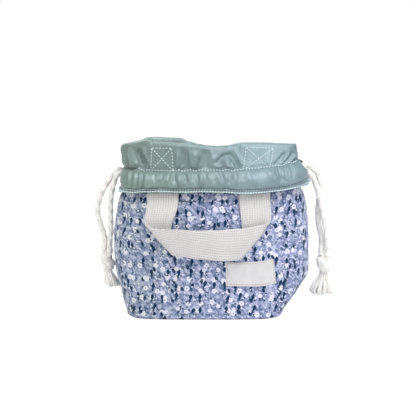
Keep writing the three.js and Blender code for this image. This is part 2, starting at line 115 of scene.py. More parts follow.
class ClothSizes(bpy.types.PropertyGroup):
    print_thickness: length("Print thickness", 1.2, "Thickness of the printed cotton")
    foam_thickness: length("Wadding thickness", 3, "Thickness of the wadding")
    lining_thickness: length("Lining thickness", 0.8, "Thickness of the lining")
    gap: length("Layer gap", 0.4, "Space between two layers")
    foam_top: length("Wadding top", 124, "Where the wadding ends")
    cuff_thickness: length("Cuff thickness", 1.2, "Thickness of the turned-out cuff")
    cuff_inner_leg: length("Cuff inner leg", 14, "How far the cuff reaches down inside")
    casing_height: length("Casing height", 20, "Height of the cord channel")
    casing_room: length("Casing room", 9.5, "How far the cord channel stands out")
    casing_tilt: length("Casing tilt", 3.5, "How much higher the channel runs on the right")
    casing_lift: length("Casing lift", 5, "How much higher the channel runs at both sides")
    hem_depth: length("Hem depth", 2.6, "Flat hem below the channel")
    exit_gap: length("Exit gap", 15, "Opening of the channel where the cords come out")


class StrapSizes(bpy.types.PropertyGroup):
    width: length("Webbing width", 30, "Width of the handle webbing")
    thickness: length("Webbing thickness", 2, "Thickness of the handle webbing")
    spacing: length("Leg spacing", 91, "Distance between a handle's legs")
    middle: length("Middle", -2.9, "How far a handle lies to the right")
    drop: length("Drop", 47.5, "From the hem to the middle of the band")
    fold_radius: length("Fold radius", 2.2, "Radius of the folds at the corners")
    pivot_below_hem: length("Bend below hem", 7, "Where the webbing starts to bend")
    rest: length("Rest", 0.6, "Space between webbing and bag")


class CordSizes(bpy.types.PropertyGroup):
    diameter: length("Cord diameter", 5.5, "Diameter of the drawcord")
    spacing: length("Cord spacing", 6.4, "Distance between the two cords")
    knot_width: length("Knot width", 15, "Side to side of a knot")
    knot_depth: length("Knot depth", 13, "Front to back of a knot")
    knot_height: length("Knot height", 17.5, "Height of a knot")
    end_gap: length("End gap", 0.6, "Space between the cord's solids")


class LabelSizes(bpy.types.PropertyGroup):
    width: length("Label width", 50, "Width of the woven label")
    height: length("Label height", 25, "Height of the woven label")
    x: length("Label x", 38.7, "Middle of the label, to the right")
    z: length("Label z", 47.8, "Middle of the label, upwards")
    turn: bpy.props.FloatProperty(
        name="Turn", description="Turn of the label", default=math.radians(3.2), subtype="ANGLE"
    )


class Colours(bpy.types.PropertyGroup):
    ground: colour("Ground", (127, 137, 165), "Ground of the printed cotton")
    ground_light: colour("Light ground", (151, 160, 188), "Lighter places of the ground")
    pale_leaf: colour("Pale leaf", (194, 200, 220), "Pale leaves of the print")
    slate_leaf: colour("Slate leaf", (76, 96, 127), "Slate leaves of the print")
    navy_leaf: colour("Navy leaf", (2, 45, 80), "Navy leaves of the print")
    blossom: colour("Blossom", (230, 232, 240), "Small flowers of the print")
    satin: colour("Satin", (102, 117, 108), "Collar, channel and lining")
    # Painted light: the satin as it looks where the bluish key light from the right falls on it
    satin_lit_right: colour("Cool satin", (106, 126, 132), "The satin's bluer right side")
    webbing: colour("Webbing", (224, 221, 220), "Handle webbing")
    cord: colour("Cord", (236, 232, 228), "Cotton cord")
    label: colour("Label", (216, 214, 214), "Woven label")
    thread: colour("Thread", (222, 235, 238), "Sewing thread on the satin")
    label_thread: colour("Label thread", (168, 158, 138), "Sewing thread on the label")
    wadding: colour("Wadding", (233, 231, 226), "Wadding inside the wall")


class StageSizes(bpy.types.PropertyGroup):
    distance: length("Camera distance", 1200, "From the camera to the bag")
    target_x: length("Aim x", -3.8, "Where the camera aims, to the right")
    target_z: length("Aim z", 107, "Where the camera aims, upwards")
    elevation: bpy.props.FloatProperty(
        name="Elevation", description="Camera angle", default=math.radians(8), subtype="ANGLE"
    )
    lens: bpy.props.FloatProperty(
        name="Lens", description="Focal length in millimetres", default=101.4
    )


class BagSettings(bpy.types.PropertyGroup):
    wall: bpy.props.PointerProperty(type=WallSizes)
    cloth: bpy.props.PointerProperty(type=ClothSizes)
    strap: bpy.props.PointerProperty(type=StrapSizes)
    cord: bpy.props.PointerProperty(type=CordSizes)
    label: bpy.props.PointerProperty(type=LabelSizes)
    colours: bpy.props.PointerProperty(type=Colours)
    stage: bpy.props.PointerProperty(type=StageSizes)


def settings():
    return bpy.context.scene.snack_bag


# Shape of the bag's wall


def smooth(value, start, end):
    t = min(1.0, max(0.0, (value - start) / (end - start)))
    return t * t * (3 - 2 * t)


def plateau(value, start, full, fading, end):
    """Nought up to the start, one from full to fading, and nought again from the end."""
    return smooth(value, start, full) * (1 - smooth(value, fading, end))


def bell(off, width):
    return math.exp(-((off / width) ** 2))


def powered(value, power):
    return math.copysign(abs(value) ** power, value)


def along(points, x):
    """Height at x on a smooth line through points (x, height)."""
    if x <= points[0][0]:
        return points[0][1]
    for (x0, h0), (x1, h1) in zip(points, points[1:]):
        if x <= x1:
            return h0 + (h1 - h0) * smooth(x, x0, x1)
    return points[-1][1]


def grain(x, y, z=0.0):
    return noise.noise(Vector((x, y, z)))


def distances(points):
    """How far along a line of points each of them lies."""
    reach = [0.0]
    for a, b in zip(points, points[1:]):
        reach.append(reach[-1] + (b - a).length)
    return reach


# How far the rim dips below its full height, in millimetres, at places from the left (-1) to the
# right side seam (1)
FRONT_DIPS = [
    (-1, 3.2), (-0.98, 1.0), (-0.9, -0.8), (-0.8, -2.0), (-0.71, -3.3), (-0.65, -4.6),
    (-0.59, -4.2), (-0.53, -2.6), (-0.35, -2.2), (-0.12, -1.2), (0.04, 1.8), (0.09, 1.6),
    (0.27, -1.4), (0.55, -1.2), (0.8, -0.2), (1, 0.6),
]
BACK_DIPS = [
    (-1, 3.2), (-0.98, 1.2), (-0.8, -1.0), (-0.66, -4.0), (-0.55, -4.4), (-0.3, -3.4),
    (-0.23, -3.2), (-0.14, 0.4), (-0.06, 2.6), (0.03, 4.6), (0.3, 5.4), (0.6, 4.0), (1, 1.0),
]
# How much of the mouth's depth is pressed away on the right, and between which places it begins
PINCH, PINCH_START, PINCH_END = 0.5, -0.17, 0.22
# Room between the collar and the sewn handle ends, and between a cord and the channel's wall
COLLAR_ROOM, CORD_ROOM = 0.0008, 0.0017


class Wall:
    """The wall's cross sections by height, as the solids have them, with the mouth pressed
    together on the right."""

    def __init__(self):
        self.cloth = settings().cloth
        s = settings().wall
        roll = 2 * s.edge_roll
        # Height, width, depth, sideways shift and squareness of each cross section
        self.rows = [
            (0.0, s.base_width - roll, s.base_depth - roll, s.base_shift, 5.0),
            (s.edge_roll, s.base_width, s.base_depth, s.base_shift, 5.0),
            (s.corner_height, s.corner_width, s.corner_depth, 0.0, 3.0),
            (s.belly_height, s.belly_width, s.belly_depth, 0.0, 2.7),
            (s.shoulder_height, s.shoulder_width, s.shoulder_depth, 0.0, 2.9),
            (s.neck_height, s.neck_width, s.neck_depth, s.neck_shift, 3.6),
            (s.rim_height, s.rim_width, s.rim_depth, s.rim_shift, 2.8),
        ]
        self.rim = s.rim_height
        self.neck = s.neck_height
        self.casing_top = s.neck_height + self.cloth.casing_height / 2
        self.cuff_offset = self.cloth.gap + settings().strap.thickness + COLLAR_ROOM
        self.cord_offset = self.cuff_offset + CORD_ROOM + settings().cord.diameter / 2
        self.known = {}
        self.table = [(0.0, 0.0)]
        steps = 900
        before = self.point(0.0, s.belly_height)
        for i in range(1, steps + 1):
            turn = math.pi * i / steps
            here = self.point(turn, s.belly_height)
            self.table.append((self.table[-1][0] + (here - before).length, turn))
            before = here

    def at(self, z):
        """Width, depth, sideways shift and squareness at a height."""
        key = round(z, 5)
        if key not in self.known:
            last = len(self.rows) - 1
            above = next((i for i, r in enumerate(self.rows) if r[0] > z), last)
            i = max(0, above - 1)
            low, high = self.rows[i], self.rows[i + 1]
            span = high[0] - low[0]
            t = (z - low[0]) / span
            t2, t3 = t * t, t * t * t

            def slope(k, n):
                a, b = self.rows[max(0, k - 1)], self.rows[min(last, k + 1)]
                return (b[n] - a[n]) / (b[0] - a[0])

            self.known[key] = tuple(
                (2 * t3 - 3 * t2 + 1) * low[n]
                + (t3 - 2 * t2 + t) * span * slope(i, n)
                + (3 * t2 - 2 * t3) * high[n]
                + (t3 - t2) * span * slope(i + 1, n)
                for n in (1, 2, 3, 4)
            )
        return self.known[key]

    def turn(self, share):
        """The turn at a share of the way from the left side seam to the right one."""
        wanted = share * self.table[-1][0]
        low, high = 0, len(self.table) - 1
        while high - low > 1:
            middle = (low + high) // 2
            if self.table[middle][0] < wanted:
                low = middle
            else:
                high = middle
        (a0, t0), (a1, t1) = self.table[low], self.table[high]
        return t0 + (t1 - t0) * (wanted - a0) / (a1 - a0)

    def towards_rim(self, across, z):
        stitches = self.casing_top + self.rise_at(across)
        return min(1.0, max(0.0, (z - stitches) / (self.rim - stitches)))

    def open(self, across, z):
        return 1 - PINCH * smooth(across, PINCH_START, PINCH_END) * self.towards_rim(across, z)

    def dip(self, across, z, side):
        dips = FRONT_DIPS if side == FRONT else BACK_DIPS
        return along(dips, across) / 1000 * self.towards_rim(across, z)

    def point(self, turn, z, offset=0.0):
        width, depth, shift, square = self.at(z)
        side = FRONT if math.sin(turn) >= 0 else BACK
        across = -math.cos(turn)
        x = shift + (width / 2 + offset) * powered(across, 2 / square)
        half = depth / 2 * self.open(across, z) + offset
        y = -half * powered(math.sin(turn), 2 / square)
        return Vector((x, y, z - self.dip(across, z, side)))

    def face(self, x, z):
        """How far the face stands out from the middle plane."""
        width, depth, shift, square = self.at(z)
        share = max(-1.0, min(1.0, (x - shift) / (width / 2)))
        across = powered(share, square / 2)
        return depth / 2 * self.open(across, z) * (1 - abs(share) ** square) ** (1 / square)

    def face_behind(self, x, z, side):
        """The same at the cloth's own height, which the rim's dips have lowered."""
        width, _, shift, square = self.at(z)
        across = powered(max(-1.0, min(1.0, (x - shift) / (width / 2))), square / 2)
        return self.face(x, min(self.rim, z + self.dip(across, z, side)))

    def rise_at(self, across):
        return self.cloth.casing_tilt * across + self.cloth.casing_lift * across * across

    def rise(self, turn):
        return self.rise_at(-math.cos(turn))

    def channel(self, turn, up, offset):
        """A point in or on the cord channel: up from its middle line, out from the wall."""
        return self.point(turn, self.neck + self.rise(turn) + up, offset)

    def exit_turn(self):
        half = self.at(self.neck)[1] / 2 + self.cord_offset
        return math.asin((self.cloth.exit_gap / 2 / half) ** (self.at(self.neck)[3] / 2))


def strokes(x, z, lines):
    """Listed creases: each line is (x0, z0, x1, z1, width, height) in millimetres, and a
    height below nought is a valley."""
    x, z, total = x * 1000, z * 1000, 0.0
    for x0, z0, x1, z1, width, height in lines:
        dx, dz = x1 - x0, z1 - z0
        t = ((x - x0) * dx + (z - z0) * dz) / (dx * dx + dz * dz)
        ends = plateau(t, -0.25, 0.2, 0.8, 1.25)
        if ends <= 0:
            continue
        off = ((x - x0) * dz - (z - z0) * dx) / math.hypot(dx, dz)
        total += height * ends * bell(off, width)
    return total / 1000


# Mesh making


def cloth_grid(columns, rows, place, closed=False, shift=0.0, level=0):
    """A grid whose points lie where place(u, v) says, with a UV map in metres along the cloth,
    measured up and down from one level row. A closed one goes round, so its last column meets
    its first."""
    bm = bmesh.new()
    bmesh.ops.create_grid(bm, x_segments=columns, y_segments=rows, size=0.5)
    verts = sorted(bm.verts, key=lambda v: (round(v.co.y, 5), round(v.co.x, 5)))
    wide = columns + 1
    for i, vert in enumerate(verts):
        u, v = (i % wide) / columns, (i // wide) / rows
        vert.co = place(u % 1.0 if closed else u, v)
    high = len(verts) // wide
    middle = 0 if closed else wide // 2
    spot = {}
    for r in [*range(level, high), *range(level - 1, -1, -1)]:
        row = verts[r * wide : (r + 1) * wide]
        reach = distances([vert.co for vert in row])
        for c, vert in enumerate(row):
            sideways, along_it = shift + reach[c] - reach[middle], 0.0
            if r != level:
                way = 1 if r > level else -1
                beside = verts[(r - way) * wide + c]
                moved = sideways - spot[beside][0]
                step = (vert.co - beside.co).length_squared - moved * moved
                along_it = spot[beside][1] + way * math.sqrt(max(0.0, step))
            spot[vert] = (sideways, along_it)
    layer = bm.loops.layers.uv.new("cloth")
    for face in bm.faces:
        for loop in face.loops:
            loop[layer].uv = spot[loop.vert]
    if closed:
        bmesh.ops.remove_doubles(bm, verts=bm.verts, dist=1e-6)
    return bm


def turn_outwards(bm, centre):
    """Turns an open sheet's faces away from a point or, for a function, from its answer."""
    total = 0.0
    bm.normal_update()
    for face in bm.faces:
        middle = face.calc_center_median()
        heart = centre(middle) if callable(centre) else centre
        total += face.normal.dot(middle - heart) * face.calc_area()
    if total < 0:
        bmesh.ops.reverse_faces(bm, faces=bm.faces)


def new_piece(name, bm, material, closed=False):
    if closed:
        bmesh.ops.recalc_face_normals(bm, faces=bm.faces)
    mesh = bpy.data.meshes.new(name)
    bm.to_mesh(mesh)
    bm.free()
    mesh.polygons.foreach_set("use_smooth", [True] * len(mesh.polygons))
    mesh.materials.append(material)
    piece = bpy.data.objects.new(name, mesh)
    bpy.context.scene.collection.objects.link(piece)
    return piece


def thicken(piece, thickness, rounds=0):
    if rounds:
        finer = piece.modifiers.new("Finer", "SUBSURF")
        finer.levels = finer.render_levels = rounds
        finer.uv_smooth = "PRESERVE_BOUNDARIES"
    solid = piece.modifiers.new("Thickness", "SOLIDIFY")
    solid.thickness = thickness
    solid.offset = -1


def dress(piece, body, slot, *nodes):
    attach(piece, body)
    if nodes:
        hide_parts(*nodes)


def settle(piece, pins, pressure, growth, limit, outward_limit):
    """Lets the cloth find its own folds: it is a little too large for its seams, is pressed from
    inside, and no point moves further than the limit, or outwards than its own one. The result
    is kept in the mesh."""
    frames = 20
    mesh = piece.data
    group = piece.vertex_groups.new(name="sewn")
    for index, weight in pins.items():
        group.add([index], weight, "REPLACE")
    cloth = piece.modifiers.new("Cloth", "CLOTH")
    cloth.settings.quality = 6
    cloth.settings.mass = 0.15
    cloth.settings.tension_stiffness = cloth.settings.compression_stiffness = 12
    cloth.settings.shear_stiffness = 4
    cloth.settings.bending_stiffness = 0.35
    cloth.settings.use_pressure = True
    cloth.settings.uniform_pressure_force = pressure
    cloth.settings.shrink_min = -growth
    cloth.settings.vertex_group_mass = group.name
    cloth.settings.effector_weights.gravity = 0
    cloth.collision_settings.use_collision = False
    cloth.point_cache.frame_end = frames
    scene = bpy.context.scene
    for f in range(1, frames + 1):
        scene.frame_set(f)
    done = piece.evaluated_get(bpy.context.evaluated_depsgraph_get())
    moved = [v.co.copy() for v in done.data.vertices]
    piece.modifiers.remove(cloth)
    piece.vertex_groups.remove(group)
    scene.frame_set(1)
    for vert, place in zip(mesh.vertices, moved):
        step = place - vert.co
        outwards = step.dot(vert.normal)
        side = step - vert.normal * outwards
        outwards = max(-limit, min(limit, outward_limit(vert.co), outwards))
        if side.length > limit / 2:
            side *= limit / 2 / side.length
        vert.co += side + vert.normal * outwards
    mesh.update()


def steps_of(points, count):
    """Even steps on a centripetal curve through points."""
    per_span = 12
    line = []
    ends = [2 * points[0] - points[1], *points, 2 * points[-1] - points[-2]]
    for p0, p1, p2, p3 in zip(ends, ends[1:], ends[2:], ends[3:]):
        t0 = 0.0
        t1 = t0 + max(1e-6, (p1 - p0).length) ** 0.5
        t2 = t1 + max(1e-6, (p2 - p1).length) ** 0.5
        t3 = t2 + max(1e-6, (p3 - p2).length) ** 0.5
        for k in range(per_span):
            t = t1 + (t2 - t1) * k / per_span
            a1 = p0 * ((t1 - t) / (t1 - t0)) + p1 * ((t - t0) / (t1 - t0))
            a2 = p1 * ((t2 - t) / (t2 - t1)) + p2 * ((t - t1) / (t2 - t1))
            a3 = p2 * ((t3 - t) / (t3 - t2)) + p3 * ((t - t2) / (t3 - t2))
            b1 = a1 * ((t2 - t) / (t2 - t0)) + a2 * ((t - t0) / (t2 - t0))
            b2 = a2 * ((t3 - t) / (t3 - t1)) + a3 * ((t - t1) / (t3 - t1))
            line.append(b1 * ((t2 - t) / (t2 - t1)) + b2 * ((t - t1) / (t2 - t1)))
    line.append(points[-1].copy())
    return evenly(line, count)


def evenly(line, count):
    reach = distances(line)
    out, k = [], 0
    for i in range(count + 1):
        wanted = reach[-1] * i / count
        while k < len(line) - 2 and reach[k + 1] < wanted:
            k += 1
        span = max(1e-9, reach[k + 1] - reach[k])
        out.append(line[k].lerp(line[k + 1], min(1.0, (wanted - reach[k]) / span)))
    return out


def travelling_axes(path):
    """Two axes across a path at each point, turned as little as possible."""
    axes, across = [], Vector((0, 1, 0))
    for i, here in enumerate(path):
        ahead = (path[min(i + 1, len(path) - 1)] - path[max(i - 1, 0)]).normalized()
        across = (across - ahead * across.dot(ahead)).normalized()
        axes.append((across, ahead.cross(across)))
    return axes


# More than the radius of any tube and less than the length of any
TUBE_END = 0.008


def tube(path, radius, sides, relief=None):
    """A closed tube on a path. radius is a length or a function of the share of the way; relief
    gives a radius factor from the angle and the distance along."""
    axes = travelling_axes(path)
    total = distances(path)[-1]
    rows = len(path) - 1

    def place(u, v):
        i = round(v * rows)
        angle = 2 * math.pi * u
        size = radius(v) if callable(radius) else radius
        if relief:
            size *= relief(angle, v * total)
        one, two = axes[i]
        return path[i] + (one * math.cos(angle) + two * math.sin(angle)) * size

    bm = cloth_grid(sides, rows, place, closed=True)
    for centre in (path[0], path[-1]):
        rim = [e for e in bm.edges if e.is_boundary]
        ring = [e for e in rim if (e.verts[0].co - centre).length < TUBE_END]
        if ring:
            bmesh.ops.edgeloop_fill(bm, edges=ring)
    return bm


# Materials


class Wires:
    """Makes and joins the nodes of a tree in few words."""

    def __init__(self, tree):
        self.tree = tree

    def node(self, kind, values=None, **options):
        node = self.tree.nodes.new(kind)
        for key, value in options.items():
            setattr(node, key, value)
        self.fill(node, values or {})
        return node

    def fill(self, node, values):
        for key, value in values.items():
            self.feed(node.inputs[key], value)

    def feed(self, socket, value):
        if isinstance(value, bpy.types.NodeSocket):
            self.tree.links.new(value, socket)
        else:
            socket.default_value = value

    def maths(self, operation, a, b=0.0):
        return self.node("ShaderNodeMath", {0: a, 1: b}, operation=operation).outputs[0]

    def plus(self, a, b):
        return self.maths("ADD", a, b)

    def minus(self, a, b):
        return self.maths("SUBTRACT", a, b)

    def times(self, a, *more):
        for b in more:
            a = self.maths("MULTIPLY", a, b)
        return a

    def vector(self, operation, a, b=(0, 0, 0), out=0):
        node = self.node("ShaderNodeVectorMath", {0: a}, operation=operation)
        self.feed(node.inputs["Scale" if operation == "SCALE" else 1], b)
        return node.outputs[out]

    def seen(self):
        """One for rays that come straight from the camera, or through clear things."""
        rays = self.node("ShaderNodeLightPath").outputs
        return self.maths("MAXIMUM", rays["Is Camera Ray"], rays["Is Transmission Ray"])

    def parts(self, vector):
        return self.node("ShaderNodeSeparateXYZ", {0: vector}).outputs

    def place(self):
        return self.node("ShaderNodeTexCoord").outputs["Object"]

    def clouds(self, vector, scale, detail, roughness=0.5, dimensions="2D"):
        values = {"Vector": vector, "Scale": scale, "Detail": detail, "Roughness": roughness}
        return self.node("ShaderNodeTexNoise", values, noise_dimensions=dimensions).outputs["Fac"]

    def ramp(self, value, low, high, to_low=0.0, to_high=1.0, kind="SMOOTHSTEP"):
        values = {"Value": value, "From Min": low, "From Max": high}
        values |= {"To Min": to_low, "To Max": to_high}
        return self.node("ShaderNodeMapRange", values, interpolation_type=kind).outputs[0]

    def mix(self, share, a, b):
        node = self.node("ShaderNodeMix", data_type="RGBA", clamp_factor=True)
        self.feed(node.inputs[0], share)
        for socket, value in ((node.inputs[6], a), (node.inputs[7], b)):
            self.feed(socket, value if isinstance(value, bpy.types.NodeSocket) else opaque(value))
        return node.outputs[2]

    def group(self, tree, **values):
        node = self.node("ShaderNodeGroup", node_tree=tree)
        for key, value in values.items():
            self.feed(node.inputs[key.replace("_", " ").capitalize()], value)
        return node.outputs


def fresh_wires(owner):
    """An empty tree of nodes for a material or a world."""
    owner.use_nodes = True
    owner.node_tree.nodes.clear()
    return Wires(owner.node_tree)


def opaque(rgb):
    return (rgb[0], rgb[1], rgb[2], 1.0)


def effect(name, takes, gives):
    """A new shader node group with its wires and sockets, or only the group where there is one."""
    if name in bpy.data.node_groups:
        return bpy.data.node_groups[name], None, None, None
    tree = bpy.data.node_groups.new(name, "ShaderNodeTree")
    for label, kind, default in takes:
        socket = tree.interface.new_socket(
            name=label, in_out="INPUT", socket_type="NodeSocket" + kind
        )
        if default is not None:
            socket.default_value = default
    for label, kind in gives:
        tree.interface.new_socket(name=label, in_out="OUTPUT", socket_type="NodeSocket" + kind)
    w = Wires(tree)
    source, end = w.node("NodeGroupInput"), w.node("NodeGroupOutput")
    return tree, w, source.outputs, end.inputs


def scattered():
    """Strews a motif over cloth: each place has its own turn, and only a share of them show."""
    tree, w, take, give = effect(
        "Scattered motif",
        [
            ("Cloth", "Vector", None), ("Cell", "Float", 0.008), ("Disorder", "Float", 0.6),
            ("Turn", "Float", 0.0), ("Spread", "Float", 0.5), ("Share", "Float", 0.8),
            ("Seed", "Float", 0.0),
        ],
        [("Place", "Vector"), ("Shown", "Float"), ("Chance", "Float")],
    )
    if w:
        shifted = w.vector("SCALE", take["Cloth"], w.maths("DIVIDE", 1.0, take["Cell"]))
        seeds = {0: take["Seed"], 1: w.times(take["Seed"], 1.7)}
        seed = w.node("ShaderNodeCombineXYZ", seeds)
        where = w.vector("ADD", shifted, seed.outputs[0])
        cells = w.node(
            "ShaderNodeTexVoronoi",
            {"Vector": where, "Scale": 1.0, "Randomness": take["Disorder"]},
            voronoi_dimensions="2D",
        )
        from_heart = w.vector("SUBTRACT", where, cells.outputs["Position"])
        local = w.vector("SCALE", from_heart, take["Cell"])
        dice = w.node("ShaderNodeSeparateColor", {0: cells.outputs["Color"]}).outputs
        swing = w.times(w.minus(dice[0], 0.5), w.times(take["Spread"], 2.0))
        turned = w.node(
            "ShaderNodeVectorRotate",
            {"Vector": local, "Angle": w.plus(take["Turn"], swing)},
            rotation_type="Z_AXIS",
        )
        w.feed(give["Place"], turned.outputs[0])
        w.feed(give["Shown"], w.maths("LESS_THAN", dice[1], take["Share"]))
        w.feed(give["Chance"], dice[2])
    return tree


def leaf():
    """A pointed leaf about the origin, its vein, and a notched one for sprigs."""
    tree, w, take, give = effect(
        "Leaf",
        [
            ("Place", "Vector", None), ("Long", "Float", 0.006), ("Wide", "Float", 0.002),
            ("Notches", "Float", 0.0), ("Softness", "Float", 0.0002),
        ],
        [("Mask", "Float"), ("Vein", "Float")],
    )
    if w:
        part = w.parts(take["Place"])
        way = w.maths("DIVIDE", part["Y"], w.times(take["Long"], 0.5))
        bulge = w.minus(1.0, w.times(way, way))
        wave = w.maths("ABSOLUTE", w.maths("SINE", w.times(way, 6.0)))
        notch = w.minus(1.0, w.times(take["Notches"], w.minus(1.0, wave)))
        half = w.times(w.times(take["Wide"], 0.5), w.times(bulge, notch))
        off = w.maths("ABSOLUTE", part["X"])
        edge = w.times(take["Softness"], -1.0)
        w.feed(give["Mask"], w.ramp(w.minus(half, off), edge, take["Softness"]))
        w.feed(give["Vein"], w.ramp(off, 0.0, w.times(take["Wide"], 0.16), 1.0, 0.0))
    return tree


def blossom():
    """A round flower with five petals and a dot in its middle."""
    tree, w, take, give = effect(
        "Blossom",
        [
            ("Place", "Vector", None), ("Radius", "Float", 0.0024), ("Scallop", "Float", 0.2),
            ("Softness", "Float", 0.0002),
        ],
        [("Mask", "Float"), ("Centre", "Float")],
    )
    if w:
        part = w.parts(take["Place"])
        angle = w.maths("ARCTAN2", part["Y"], part["X"])
        petals = w.maths("ABSOLUTE", w.maths("COSINE", w.times(angle, 2.5)))
        size = w.plus(w.minus(1.0, take["Scallop"]), w.times(take["Scallop"], petals))
        far = w.vector("LENGTH", take["Place"], out=1)
        inside = w.minus(w.times(take["Radius"], size), far)
        edge = w.times(take["Softness"], -1.0)
        w.feed(give["Mask"], w.ramp(inside, edge, take["Softness"]))
        near = w.minus(w.times(take["Radius"], 0.24), far)
        w.feed(give["Centre"], w.ramp(near, edge, take["Softness"]))
    return tree


def plain_weave():
    """Height of a plain weave, and a slow change of tone over the cloth."""
    tree, w, take, give = effect(
        "Plain weave",
        [("Cloth", "Vector", None), ("Pitch", "Float", 0.0005), ("Patches", "Float", 0.02)],
        [("Height", "Float"), ("Tone", "Float")],
    )
    if w:
        part = w.parts(take["Cloth"])
        turns = w.maths("DIVIDE", 2 * math.pi, take["Pitch"])
        one = w.maths("SINE", w.times(part["X"], turns))
        two = w.maths("SINE", w.times(part["Y"], turns))
        w.feed(give["Height"], w.times(one, two))
        scale = w.maths("DIVIDE", 1.0, take["Patches"])
        w.feed(give["Tone"], w.clouds(take["Cloth"], scale, 2.0))
    return tree


def new_material(name):
    """A new material with its wires, shader and map, or only the material where there is one."""
    if name in bpy.data.materials:
        return bpy.data.materials[name], None, None, None
    material = bpy.data.materials.new(name)
    w = fresh_wires(material)
    shader = w.node("ShaderNodeBsdfPrincipled")
    end = w.node("ShaderNodeOutputMaterial")
    w.tree.links.new(shader.outputs[0], end.inputs[0])
    cloth = w.node("ShaderNodeUVMap", uv_map="cloth").outputs[0]
    return material, w, shader, cloth


def bump(w, shader, height, depth, strength=1.0):
    values = {"Height": height, "Distance": depth, "Strength": strength}
    w.feed(shader.inputs["Normal"], w.node("ShaderNodeBump", values).outputs[0])


# How soft the edges of most motifs are, in metres, and a spread of turns that points every way
CRISP = 0.00016
ANY_TURN = 3.1


